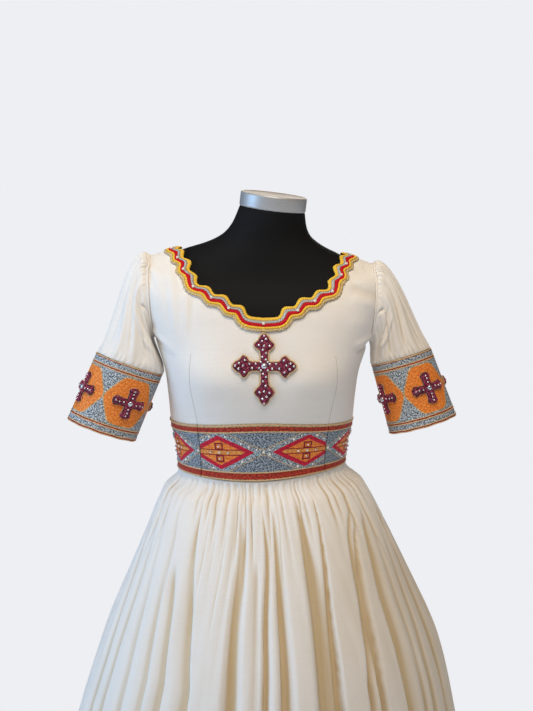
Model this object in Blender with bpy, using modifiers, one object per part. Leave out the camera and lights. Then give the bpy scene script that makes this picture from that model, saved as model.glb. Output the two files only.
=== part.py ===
"""A habesha kemis worn by a limbless dress form, in metres, +Z up, with the front facing -Y.

The dress is cut as its maker cuts it: a darted front bodice, two backs that meet at the centre back, an
embroidered waistband in five pieces, two gathered sleeves with embroidered cuffs, a scalloped neck trim, a
beaded cross on the chest and four on each cuff, and a gathered skirt of a front and a back.
Each cloth piece is an open surface worked out from the sizes below and thickened with Solidify.
The form is a smooth torso on a pole and a round base, with a cap on its neck.
"left" and "right" are the wearer's, so left is +X.
"""

import math

import bpy
import numpy as np

# ---------------------------------------------------------------- sizes

SEAM_GAP = 0.0004
EASE = 0.004  # from the form to the inside of the bodice
COTTON = 0.0015  # wall of the plain white cotton
EMBROIDERED = 0.0025  # wall of the stiff embroidered pieces
TRIM = 0.0018  # wall of the neck trim and of the crosses
OVERLAY_GAP = 0.0009  # under a piece that lies on the bodice

WAIST = 1.048  # height of the waist seam at the side
WAIST_DIP = 0.009  # how much lower the waist seam is at the centre front
WAIST_TILT = 0.005  # how much higher it is at the wearer's left side, and lower at the right side
BAND_TOP = 1.127
BAND_RISE = 0.012  # how much higher the band's top is at the centre front
DART_LOW, DART_HIGH = math.radians(55), math.radians(51.5)  # of each waist dart, from the centre front
HEM = 0.05

CUFF_HEIGHT = 0.120
CUFF_GAP = 0.0008  # from a sleeve, which meets its cuff at a slant
ARMHOLE_MIDDLE = (0.1803, 0.002, 1.323)  # a point of the flat plane that cuts the left armhole
ARMHOLE_LEAN = 0.11  # how far that plane leans out for each unit of height
ARMHOLE_SWEEP = 0.152  # how far back the armhole's top lies, so that it meets the shoulder seam
SLANT = math.tan(math.radians(2.2))  # the right shoulder is the higher one
SLANT_FROM, SLANT_TO = 1.14, 1.36

TRIM_WIDTH = 0.022
SCALLOP = 0.0034  # how far the neck trim's inner edge swings each way
OUTER_SWING = 0.65  # of that, at its outer edge
SCALLOP_LENGTH = 0.032
FIRST_SCALLOP = 0.038  # from the centre front to the first point that swings in
STEPS_PER_SCALLOP = 6
TRIM_FLAT = 0.4  # of the trim's width lies inside the bodice's edge, and slopes down to the form
TRIM_EDGE_EASE = 0.003  # from the form to the trim's inner edge
EDGE_UNDER_TRIM = 0.0128  # how far the bodice stops short of the neck opening

NECK_TIP_FORWARD = math.radians(5)
NECK_TIP_SIDE = math.radians(4.6)
NECK_TOP = 1.476
CAP_HEIGHT = 0.024
TORSO_BOTTOM = 0.790

BASE_RADIUS = 0.190
BASE_THICK = 0.012
BOSS_TOP = 0.042
POLE_RADIUS = 0.0125
FLANGE_RADIUS = 0.045

GATHERS = 72  # in the skirt's waist seam
SLEEVE_GATHERS = 22
STEPS_PER_SLEEVE_GATHER = 3

FRONT = -math.pi / 2
HALF_TURN = math.pi


def monotone(keys, values, at):
    """The smooth curve through (keys, values) that never overshoots them, read at any array of keys."""
    gap = np.diff(keys)
    rise = np.diff(values) / gap
    near, far = rise[:-1], rise[1:]
    same_way = near * far > 0
    near_weight = 2 * gap[1:] + gap[:-1]
    far_weight = gap[1:] + 2 * gap[:-1]
    total = near_weight / np.where(same_way, near, 1) + far_weight / np.where(same_way, far, 1)
    slope = np.concatenate([rise[:1], np.where(same_way, (near_weight + far_weight) / total, 0), rise[-1:]])
    at = np.clip(np.asarray(at, float), keys[0], keys[-1])
    k = np.clip(np.searchsorted(keys, at) - 1, 0, len(gap) - 1)
    t = (at - keys[k]) / gap[k]
    start = (1 + 2 * t) * (1 - t) ** 2 * values[k] + t * (1 - t) ** 2 * gap[k] * slope[k]
    end = t * t * (3 - 2 * t) * values[k + 1] + t * t * (t - 1) * gap[k] * slope[k + 1]
    return start + end


class Table:
    """Rows of named columns, read along a smooth curve at any value of the first column."""

    def __init__(self, columns, rows):
        self.columns = columns.split()
        self.rows = np.array(rows, float)

    def at(self, column, key):
        return monotone(self.rows[:, 0], self.rows[:, self.columns.index(column)], key)

    def column(self, name):
        return self.rows[:, self.columns.index(name)]


# The form, ring by ring. A ring's height is its level, less a droop away from the ridge of the shoulder.
BODY = Table(
    "level half_width front back centre_y power droop shift tip",
    [
        (0.790, 0.158, 0.098, 0.108, 0.000, 2.2, 0.000, 0, 0),
        (0.860, 0.170, 0.106, 0.124, 0.000, 2.2, 0.000, 0, 0),
        (0.940, 0.164, 0.104, 0.116, 0.000, 2.2, 0.000, 0, 0),
        (1.000, 0.147, 0.097, 0.099, 0.000, 2.2, 0.000, 0, 0),
        (1.045, 0.1365, 0.0925, 0.088, 0.000, 2.2, 0.000, 0, 0),
        (1.085, 0.1400, 0.0975, 0.090, 0.000, 2.2, 0.000, 0, 0),
        (1.128, 0.1485, 0.106, 0.095, 0.000, 2.2, 0.000, 0, 0),
        (1.165, 0.1515, 0.118, 0.100, 0.000, 2.25, 0.000, 0, 0),
        (1.205, 0.1560, 0.124, 0.104, 0.000, 2.3, 0.000, 0, 0),
        (1.250, 0.1690, 0.117, 0.106, 0.002, 2.5, 0.000, 0, 0),
        (1.300, 0.1850, 0.106, 0.106, 0.004, 2.8, 0.004, 0, 0),
        (1.340, 0.1930, 0.096, 0.102, 0.007, 3.0, 0.016, 0, 0),
        (1.366, 0.1950, 0.086, 0.094, 0.010, 3.1, 0.029, 0, 0),
        (1.382, 0.1910, 0.078, 0.088, 0.011, 3.1, 0.037, 0, 0),
        (1.3885, 0.177, 0.075, 0.084, 0.012, 3.0, 0.040, 0, 0),
        (1.394, 0.160, 0.072, 0.081, 0.012, 2.8, 0.040, 0, 0),
        (1.400, 0.141, 0.069, 0.078, 0.012, 2.7, 0.038, 0, 0),
        (1.4075, 0.1235, 0.065, 0.073, 0.011, 2.5, 0.033, 0.0020, 0),
        (1.4155, 0.1025, 0.061, 0.068, 0.010, 2.35, 0.025, 0.0050, 0),
        (1.424, 0.0855, 0.057, 0.064, 0.008, 2.2, 0.017, 0.0078, 0.02),
        (1.434, 0.0720, 0.0545, 0.060, 0.006, 2.1, 0.010, 0.0100, 0.10),
        (1.449, 0.0620, 0.053, 0.055, 0.003, 2.0, 0.003, 0.0130, 0.35),
        (1.476, 0.0535, 0.050, 0.050, -0.002, 2.0, 0.000, 0.0176, 1),
    ],
)
DROOP_REACH = 0.05
BUST_LEVEL, BUST_HEIGHT = 1.208, 0.046
BUST_ANGLE, BUST_WIDTH = math.radians(37), math.radians(23)
BUST_RISE = 0.012

# Points close to the neck opening, from the centre front over the wearer's left shoulder to the centre back.
NECK = Table(
    "share x y z",
    [
        (0.000, 0.000, -0.0975, 1.3060),
        (0.045, 0.019, -0.0965, 1.3076),
        (0.095, 0.038, -0.0930, 1.3195),
        (0.155, 0.0596, -0.0860, 1.3310),
        (0.220, 0.0814, -0.0765, 1.3405),
        (0.285, 0.1005, -0.0655, 1.3510),
        (0.345, 0.1115, -0.0510, 1.3665),
        (0.405, 0.1180, -0.0340, 1.3820),
        (0.480, 0.1290, -0.0100, 1.3965),
        (0.560, 0.1350, 0.0150, 1.4010),
        (0.650, 0.1270, 0.0480, 1.3910),
        (0.750, 0.1020, 0.0760, 1.3750),
        (0.870, 0.0550, 0.0920, 1.3590),
        (1.000, 0.000, 0.096, 1.3540),
    ],
)

# Each sleeve: where its cuff starts and ends, and the half widths inside those ends. side is the sign of x, and
# tilt is how far the outer side of the cuff sits lower than straight across, as a slope.
SLEEVE_COLUMNS = "side top_x top_y top_z low_x low_y low_z top_half low_half cross_turn tilt"
SLEEVES = {
    "right": (-1, 0.2200, -0.018, 1.2210, 0.2690, -0.030, 1.1080, 0.0550, 0.0568, 0.050, 0.07),
    "left": (1, 0.2338, -0.010, 1.2300, 0.2718, -0.022, 1.1140, 0.0490, 0.0554, -0.058, 0.03),
}
CUFF_FLATNESS = 0.90  # its depth over its width

# How far the sleeve's gathers stand out, at its head and towards its cuff.
SLEEVE_FULLNESS = Table(
    "down head cuff",
    [
        (0.00, 0.0008, 0.0000),
        (0.10, 0.0040, 0.0006),
        (0.35, 0.0036, 0.0020),
        (0.70, 0.0016, 0.0034),
        (0.92, 0.0000, 0.0026),
        (1.00, 0.0000, 0.0000),
    ],
)
SLEEVE_RINGS = (0.0, 0.10, 0.32, 0.62, 0.90, 1.0)

# The skirt's rings. gather and fold are how far the gathers and the folds stand out there, and sway is how far
# the ring hangs to the wearer's left.
SKIRT = Table(
    "z half_width front back power gather fold sway",
    [
        (0.050, 0.402, 0.362, 0.382, 2.0, 0.0000, 0.034, 0.000),
        (0.300, 0.362, 0.327, 0.347, 2.0, 0.0000, 0.030, 0.004),
        (0.596, 0.307, 0.282, 0.298, 2.0, 0.0006, 0.024, 0.009),
        (0.742, 0.272, 0.250, 0.266, 2.0, 0.0012, 0.018, 0.014),
        (0.873, 0.2225, 0.198, 0.212, 2.1, 0.0020, 0.011, 0.010),
        (0.927, 0.2015, 0.172, 0.183, 2.15, 0.0025, 0.0075, 0.008),
        (1.015, 0.1640, 0.121, 0.122, 2.2, 0.0025, 0.002, 0.003),
        (1.033, 0.1530, 0.106, 0.104, 2.2, 0.0020, 0.0005, 0.001),
        (1.048, 0.1410, 0.097, 0.093, 2.2, 0.0008, 0.0000, 0.000),
    ],
)
SEAM_STRIP = 0.006  # flat strip of the skirt above its gathers
SKIRT_DROPS = (0.0, SEAM_STRIP, 0.030, 0.085, 0.175, 0.320, 0.560, WAIST - HEM)  # of its rings, below the waist

# The skirt's main folds: angle and half width in degrees, 0 at the front and 90 at the wearer's left.
FOLDS = Table(
    "angle width rise",
    [
        (-176, 8, 0.95), (-161, 7, 0.80), (-147, 8, 1.00), (-133, 7, 0.75), (-118, 8, 0.95), (-103, 7, 0.85),
        (-90, 7, 1.00), (-77, 6, 0.80), (-64, 6, 0.90), (-52, 6, 0.80), (-41, 6, 1.00), (-28.5, 6, 0.95),
        (-17, 5.5, 1.00), (-5.5, 5.5, 0.75), (11.5, 7, 0.90), (28, 7.5, 1.05), (41, 6, 0.70), (52, 6, 0.85),
        (63, 6, 0.75), (76, 7, 0.95), (90, 7, 0.90), (104, 7, 0.80), (119, 8, 1.00), (134, 7, 0.85),
        (149, 8, 0.95), (165, 8, 0.85),
    ],
)

# A cross's arm, from the middle out: how far along the arm, and half its width there.
CHEST_CROSS_ARM = Table(
    "along half",
    [
        (0.0074, 0.0074),
        (0.0160, 0.0068),
        (0.0235, 0.0078),
        (0.0290, 0.0150),
        (0.0350, 0.0168),
        (0.0390, 0.0098),
        (0.0445, 0.0078),
        (0.0505, 0.0018),
    ],
)
CHEST_CROSS_X = -0.001
CHEST_CROSS_Z = 1.2320
LOWER_ARM_STRETCH = 1.19
CUFF_CROSS_ARM = Table("along half", [(0.0065, 0.0062), (0.0160, 0.0066), (0.0215, 0.0082), (0.0262, 0.0030)])
CUFF_CROSSES = 4


# ---------------------------------------------------------------- surfaces


def unit(vector):
    return vector / np.linalg.norm(vector, axis=-1, keepdims=True)


def ring_radius(angle, half_width, front, back, power):
    """Distance from the middle of a ring that is half_width wide and front or back deep."""
    depth = np.where(np.sin(angle) < 0, front, back)
    return ((np.abs(np.cos(angle)) / half_width) ** power + (np.abs(np.sin(angle)) / depth) ** power) ** (-1 / power)


def form_radius(level, angle):
    """Distance from the middle of a ring of the form to its surface."""
    sizes = [BODY.at(name, level) for name in ("half_width", "front", "back", "power")]
    away = np.abs((angle - FRONT + HALF_TURN) % (2 * HALF_TURN) - HALF_TURN)
    bust = np.exp(-(((away - BUST_ANGLE) / BUST_WIDTH) ** 2) - ((level - BUST_LEVEL) / BUST_HEIGHT) ** 2)
    return ring_radius(angle, *sizes) + BUST_RISE * bust


def bare_body(level, angle):
    """The form's own surface. angle is seen from above: 0 is the wearer's left and FRONT the front."""
    level, angle = np.broadcast_arrays(np.asarray(level, float), np.asarray(angle, float))
    radius = form_radius(level, angle)
    x, y = radius * np.cos(angle), radius * np.sin(angle)
    tip = BODY.at("tip", level)
    z = level - BODY.at("droop", level) * y**2 / (y**2 + DROOP_REACH**2)
    z = z + tip * (y * math.tan(NECK_TIP_FORWARD) - x * math.tan(NECK_TIP_SIDE))
    return np.stack([x + BODY.at("shift", level), y + BODY.at("centre_y", level), z], axis=-1)


def body_directions(level, angle):
    """How a point of the form moves as the level and the angle grow, and the outward normal there."""
    small = 1e-4
    up = (bare_body(level + small, angle) - bare_body(level - small, angle)) / (2 * small)
    round_ = (bare_body(level, angle + small) - bare_body(level, angle - small)) / (2 * small)
    return up, round_, unit(np.cross(round_, up))


def body(level, angle, lift):
    """A point lifted off the form by lift."""
    return bare_body(level, angle) + lift * body_directions(level, angle)[2]


def located(point):
    """Level and angle of the form nearest a point, and how far outside the form the point is."""
    level = point[..., 2]
    for _ in range(12):
        away = point[..., 1] - BODY.at("centre_y", level)
        level = point[..., 2] + BODY.at("droop", level) * away**2 / (away**2 + DROOP_REACH**2)
    away = point[..., 1] - BODY.at("centre_y", level)
    angle = np.arctan2(away, point[..., 0])
    return level, angle, np.hypot(point[..., 0], away) - form_radius(level, angle)


def way_out(start, way):
    """Level and angle where a ray from inside the form leaves it."""
    near = np.zeros(np.broadcast_shapes(start.shape, way.shape)[:-1])
    far = near + 0.3
    for _ in range(36):
        middle = (near + far) / 2
        outside = located(start + middle[..., None] * way)[2] > 0
        near, far = np.where(outside, near, middle), np.where(outside, middle, far)
    return located(start + near[..., None] * way)[:2]


def through(points):
    """Level and angle of the form where rays from its middle pass through points."""
    points = np.asarray(points, float)
    start = np.stack([0 * points[..., 0], 0 * points[..., 1], np.minimum(points[..., 2], 1.30)], axis=-1)
    return way_out(start, unit(points - start))


def seen_from_front(x, z):
    """Level and angle of the point of the form's front that is seen at x, z."""
    start = np.stack([x, 0 * x, z], axis=-1)
    return way_out(start, np.array([0.0, -1.0, 0.0]))


def settled(points):
    """The whole upper body leans a little: everything above the waist shears down towards the wearer's left."""
    rise = np.clip((points[..., 2] - SLANT_FROM) / (SLANT_TO - SLANT_FROM), 0, 1)
    lowered = points.copy()
    lowered[..., 2] -= SLANT * points[..., 0] * rise * rise * (3 - 2 * rise)
    return lowered


def moved(level, angle, move):
    """Level and angle of points of the form after a small move over it."""
    up, round_, _ = body_directions(level, angle)
    uu, ur, rr = (up * up).sum(-1), (up * round_).sum(-1), (round_ * round_).sum(-1)
    mu, mr = (move * up).sum(-1), (move * round_).sum(-1)
    spread = uu * rr - ur * ur
    return level + (mu * rr - mr * ur) / spread, angle + (mr * uu - mu * ur) / spread


def nearest(points):
    """Level and angle of the points of the form nearest to points that lie just inside it."""
    level, angle = through(points)
    for _ in range(12):
        level, angle = moved(level, angle, 0.7 * (points - bare_body(level, angle)))
    return level, angle


def beside(level, angle, distance):
    """A curve on the form moved sideways over it by distance, to the left of the way it runs."""
    steps = 8
    for _ in range(steps):
        normal = body_directions(level, angle)[2]
        sideways = np.cross(normal, unit(np.gradient(bare_body(level, angle), axis=0)))
        level, angle = moved(level, angle, sideways * distance / steps)
    return level, angle


def neck_curve(samples=161):
    """The neck opening from the centre front over the wearer's left shoulder to the centre back.

    Returns level, angle and the length from the centre front, with evenly spaced points."""
    share = np.linspace(0, 1, samples)
    level, angle = through(np.stack([monotone(NECK.column("share"), NECK.column(n), share) for n in "xyz"], axis=-1))
    steps = np.linalg.norm(np.diff(bare_body(level, angle), axis=0), axis=1)
    length = np.concatenate([[0], np.cumsum(steps)])
    even = np.linspace(0, length[-1], samples)
    return np.interp(even, length, level), np.interp(even, length, angle), even


def armhole(turn):
    """Level and angle of the left armhole. turn is 0 at its top, and grows towards the back."""
    turn = np.asarray(turn, float)
    back = np.sin(turn) + ARMHOLE_SWEEP * np.clip(np.cos(turn), 0, 1) ** 2
    way = np.stack([ARMHOLE_LEAN * np.cos(turn), back, np.cos(turn)], axis=-1)
    return way_out(np.array(ARMHOLE_MIDDLE), way)


def waist(angle):
    """Height of the waist seam."""
    return WAIST - WAIST_DIP * np.clip(-np.sin(angle), 0, 1) ** 2 + WAIST_TILT * np.cos(angle)


def band_top(angle):
    return BAND_TOP + BAND_RISE * np.clip(-np.sin(angle), 0, 1) ** 2


# ---------------------------------------------------------------- making objects


def material(name, colour, roughness, metallic=0.0):
    made = bpy.data.materials.new(name)
    made.use_nodes = True
    shader = made.node_tree.nodes["Principled BSDF"]
    shader.inputs["Base Color"].default_value = (*colour, 1)
    shader.inputs["Roughness"].default_value = roughness
    shader.inputs["Metallic"].default_value = metallic
    return made


def add_object(name, mesh, look, smooth=True):
    mesh.materials.append(look)
    if smooth:
        mesh.shade_smooth()
    obj = bpy.data.objects.new(name, mesh)
    PART.objects.link(obj)
    return obj


def surface_faces(rows, columns, wrap):
    """The faces of a grid of points, row by row. wrap joins the last column to the first."""
    last = columns if wrap else columns - 1
    return [
        (r * columns + c, r * columns + (c + 1) % columns, (r + 1) * columns + (c + 1) % columns, (r + 1) * columns + c)
        for r in range(rows - 1)
        for c in range(last)
    ]


def thicken(obj, wall):
    solidify = obj.modifiers.new("Wall", "SOLIDIFY")
    solidify.thickness = wall
    solidify.offset = 1
    return obj


def weld(grids, wraps):
    """Joins grids of points into one surface, with the points that they share made one. Returns points and faces."""
    index, points, faces = {}, [], []
    for grid, wrap in zip(grids, wraps):
        rows, columns = grid.shape[:2]
        keys = []
        for point in grid.reshape(-1, 3):
            key = tuple(np.round(point, 6) + 0.0)
            if key not in index:
                index[key] = len(points)
                points.append(point)
            keys.append(index[key])
        faces += [tuple(keys[corner] for corner in face) for face in surface_faces(rows, columns, wrap)]
    return np.array(points), faces


def cloth(name, grids, wall, look, wrap=False, core=(0, 0, 1.25)):
    """A wall of cloth that thickens away from core. Its inner face is made of grids of rows and columns of points."""
    points, faces = weld(grids, [wrap] * len(grids))
    corners = np.array(faces)
    normals = np.cross(points[corners[:, 2]] - points[corners[:, 0]], points[corners[:, 3]] - points[corners[:, 1]])
    away = points[corners].mean(axis=1) - np.array(core)
    if (normals * away).sum() < 0:
        faces = [face[::-1] for face in faces]
    mesh = bpy.data.meshes.new(name)
    mesh.from_pydata(points.tolist(), [], faces)
    return thicken(add_object(name, mesh, look), wall)


def applique(name, arm, stretch, place, core, wall, look):
    """A cross of four arms laid on a panel. place takes its sizes across and up to points of the panel."""
    along, half = arm.column("along"), arm.column("half").copy()
    half[0] = along[0]
    sides = np.array([-1.0, 0.0, 1.0])
    root = along[0] * sides
    grids = [np.stack(np.meshgrid(root, root), axis=-1)]
    for turn in range(4):
        cosine, sine = (1, 0, -1, 0)[turn], (0, 1, 0, -1)[turn]
        reach = along[0] + (along - along[0]) * (stretch if turn == 3 else 1)
        out = np.broadcast_to(reach[:, None], (len(reach), 3))
        across = half[:, None] * sides[::-1]
        grids.append(np.stack([out * cosine - across * sine, out * sine + across * cosine], axis=-1))
    placed = [place(flat[..., 0], flat[..., 1]) for flat in grids]
    return cloth(name, placed, wall, look, core=core)


def loft(name, rings, look):
    """A solid through rings of points, closed by a flat face at each end. The rings rise anticlockwise."""
    rows, columns = rings.shape[:2]
    top = (rows - 1) * columns
    faces = surface_faces(rows, columns, wrap=True)
    faces += [tuple(range(columns))[::-1], tuple(range(top, top + columns))]
    mesh = bpy.data.meshes.new(name)
    mesh.from_pydata(rings.reshape(-1, 3).tolist(), [], faces)
    return add_object(name, mesh, look)


def turned(name, profile, look, steps=40):
    """A round solid from the (radius, height) points of its outer side, top to bottom."""
    mesh = bpy.data.meshes.new(name)
    mesh.from_pydata([(r, 0, z) for r, z in profile], [(k, k + 1) for k in range(len(profile) - 1)], [])
    obj = add_object(name, mesh, look, smooth=False)
    screw = obj.modifiers.new("Turn", "SCREW")
    screw.steps = screw.render_steps = steps
    screw.use_merge_vertices = True
    screw.merge_threshold = 0.00001
    screw.use_smooth_shade = True
    return obj


# ---------------------------------------------------------------- the form


def make_torso(look):
    """The torso, closed with a flat face under the hips and another on top of the neck."""
    shoulders = [1.378, 1.387, 1.396, 1.4075, 1.4155, 1.424, 1.434, 1.449]
    levels = np.concatenate([np.linspace(TORSO_BOTTOM, 1.36, 12), shoulders, [NECK_TOP]])
    angles = np.arange(28) / 28 * 2 * HALF_TURN
    loft("form_torso", settled(bare_body(levels[:, None], angles[None, :])), look)


def make_neck_cap(look):
    """The oval cap, which follows the lean of the neck's top."""
    angles = np.arange(36) / 36 * 2 * HALF_TURN
    ring = bare_body(NECK_TOP, angles)
    middle = ring.mean(axis=0)
    lean = unit(np.array([math.tan(NECK_TIP_SIDE) + SLANT, -math.tan(NECK_TIP_FORWARD), 1.0]))
    edge = 0.0015
    steps = [(SEAM_GAP, 1.0), (SEAM_GAP + edge, 1.02), (CAP_HEIGHT - edge, 1.02), (CAP_HEIGHT, 1.0)]
    rings = np.stack([middle + (ring - middle) * size + lean * rise for rise, size in steps])
    loft("form_neck_cap", settled(rings), look)


def make_stand(steel, iron):
    """The pole with its flange under the torso, and the round base that it stands on."""
    top = TORSO_BOTTOM - SEAM_GAP
    flange = 0.006
    collar_radius, collar = POLE_RADIUS * 1.6, 0.040
    foot = BOSS_TOP + SEAM_GAP
    turned(
        "form_pole",
        [
            (0, top),
            (FLANGE_RADIUS, top),
            (FLANGE_RADIUS, top - flange),
            (collar_radius, top - flange),
            (collar_radius, top - collar),
            (POLE_RADIUS, top - collar),
            (POLE_RADIUS, foot),
            (0, foot),
        ],
        steel,
        steps=20,
    )
    boss_radius = 0.028
    edge = 0.003
    turned(
        "form_base",
        [
            (0, BOSS_TOP),
            (boss_radius - edge, BOSS_TOP),
            (boss_radius, BOSS_TOP - edge),
            (boss_radius, BASE_THICK + 2 * edge),
            (boss_radius + 2 * edge, BASE_THICK),
            (BASE_RADIUS - edge, BASE_THICK),
            (BASE_RADIUS, BASE_THICK - edge),
            (BASE_RADIUS, 0),
            (0, 0),
        ],
        iron,
        steps=40,
    )


# ---------------------------------------------------------------- the bodice


def patch(bottom, top, left, right):
    """A grid of points between four edges that meet at their ends. Rows run from bottom to top."""
    across = np.linspace(0, 1, len(bottom))[None, :, None]
    up = np.linspace(0, 1, len(left))[:, None, None]
    sides = left[:, None] * (1 - across) + right[:, None] * across
    ends = bottom[None] * (1 - up) + top[None] * up
    low = bottom[0] * (1 - across) + bottom[-1] * across
    high = top[0] * (1 - across) + top[-1] * across
    return sides + ends - low * (1 - up) - high * up


def spaced(level, angle, count):
    """count points evenly along a curve of the form."""
    points = bare_body(level, angle)
    length = np.concatenate([[0], np.cumsum(np.linalg.norm(np.diff(points, axis=0), axis=1))])
    wanted = np.linspace(0, length[-1], count)
    return bare_body(np.interp(wanted, length, level), np.interp(wanted, length, angle))


def half_bodice(back, columns, side_rows, armhole_rows, centre_rows):
    """The left half of the front or of the back, from the waistband to the shoulder seam.

    Its rows run from the side seam and the armhole to the centre and the neck."""
    sign = 1 if back else -1
    seam = sign * SEAM_GAP * 0.6
    centre_angle = sign * HALF_TURN / 2
    neck_level, neck_angle, length = neck_curve()
    neck_level, neck_angle = beside(neck_level, neck_angle, -EDGE_UNDER_TRIM)
    neck_angle[0], neck_angle[-1] = FRONT, HALF_TURN / 2
    kept = neck_angle * sign > 0
    neck_level, neck_angle = neck_level[kept], neck_angle[kept]
    if not back:
        neck_level, neck_angle = neck_level[::-1], neck_angle[::-1]
    arm_level, arm_angle = armhole(np.linspace(HALF_TURN, 0, 81) * sign)
    under, tip, neck_side = arm_level[0], arm_level[-1], neck_level[0]
    fine = np.linspace(0, 1, 41)
    low = band_top(centre_angle * fine) + SEAM_GAP
    bottom = spaced(low, centre_angle * fine, columns + 1)
    top = spaced(tip + (neck_side - tip) * fine, 0 * fine, columns + 1)
    side = spaced(low[0] + (under - low[0]) * fine, 0 * fine, side_rows + 1)
    hole = spaced(arm_level, arm_angle, armhole_rows + 1)
    centre = spaced(low[-1] + (neck_level[-1] - low[-1]) * fine, centre_angle + 0 * fine, centre_rows + 1)
    rest = side_rows + armhole_rows - centre_rows
    neck = spaced(neck_level, neck_angle, rest + 1)[::-1]
    left = np.concatenate([side, hole[1:]])
    right = np.concatenate([centre, neck[1:]])
    top[0], top[-1] = left[-1], right[-1]
    level, angle = nearest(patch(bottom, top, left, right))
    radius = form_radius(level, angle)
    limit = np.abs(seam / radius)
    if back:
        return level, np.clip(angle, limit, HALF_TURN / 2 - limit)
    return level, np.minimum(angle, -limit)


def make_bodice(look):
    level, angle = half_bodice(False, 9, 6, 12, 9)
    angle[:10, -1] = FRONT
    half = body(level, angle, EASE)
    other = half[:, ::-1] * np.array([-1, 1, 1])
    cloth("bodice_front", [settled(half), settled(other)], COTTON, look)
    level, angle = half_bodice(True, 8, 5, 11, 11)
    half = body(level, angle, EASE)
    cloth("bodice_back_left", [settled(half)], COTTON, look)
    cloth("bodice_back_right", [settled(half * np.array([-1, 1, 1]))], COTTON, look)


def make_neck_trim(look):
    """The scalloped trim, one strip from the centre back round the front to the centre back."""
    level, angle, length = neck_curve()
    end = length[-1] - SEAM_GAP
    step = SCALLOP_LENGTH / STEPS_PER_SCALLOP
    start = FIRST_SCALLOP - SCALLOP_LENGTH / 2
    along = np.concatenate([[0, start / 2], np.arange(start, end - step / 2, step), [end]])
    phase = np.maximum(along - FIRST_SCALLOP, -SCALLOP_LENGTH / 2)
    swing = SCALLOP * np.cos(2 * HALF_TURN * phase / SCALLOP_LENGTH)[:, None]
    full = EASE + COTTON + OVERLAY_GAP
    rows = []
    for share, lift in ((0, TRIM_EDGE_EASE), (TRIM_FLAT, full), (1, full)):
        edge = beside(level, angle, -share * TRIM_WIDTH)
        edge = [np.interp(along, length, values) for values in edge]
        normal = body_directions(*edge)[2]
        inward = unit(np.cross(normal, np.gradient(bare_body(*edge), axis=0)))
        rows.append(bare_body(*edge) + inward * swing * (1 - (1 - OUTER_SWING) * share) + normal * lift)
    half = np.array(rows)
    half[:, 0, 0], half[:, -1, 0] = 0, SEAM_GAP
    other = half[:, :0:-1] * np.array([-1, 1, 1])
    return cloth("neck_trim", [settled(np.concatenate([other, half], axis=1))], TRIM, look, core=(0, 0, 1.30))


def make_chest_cross(look):
    def place(across, up):
        level, angle = seen_from_front(CHEST_CROSS_X + across, CHEST_CROSS_Z + up)
        return settled(body(level, angle, EASE + COTTON + OVERLAY_GAP))

    applique("chest_cross", CHEST_CROSS_ARM, LOWER_ARM_STRETCH, place, (0, 0, CHEST_CROSS_Z), TRIM, look)


def make_waistband(look):
    """Five pieces: the front between the darts, a side front each side, and a back each side."""
    share = np.linspace(0, 1, 3)[:, None]
    dart = FRONT + DART_LOW + (DART_HIGH - DART_LOW) * share
    other_dart = -HALF_TURN - dart
    back = HALF_TURN / 2
    pieces = {
        "band_front": (other_dart, dart, 14),
        "band_side_front_left": (dart, 0, 8),
        "band_side_front_right": (-HALF_TURN, other_dart, 8),
        "band_back_left": (0, back, 13),
        "band_back_right": (back, HALF_TURN, 13),
    }
    gap = 0.0018
    for name, (first, last, columns) in pieces.items():
        angles = first + gap + (last - first - 2 * gap) * np.linspace(0, 1, columns + 1)[None, :]
        levels = waist(angles) + (band_top(angles) - waist(angles)) * share
        cloth(name, [body(levels, angles, EASE)], EMBROIDERED, look, core=(0, 0, 1.08))


# ---------------------------------------------------------------- the sleeves


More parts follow.
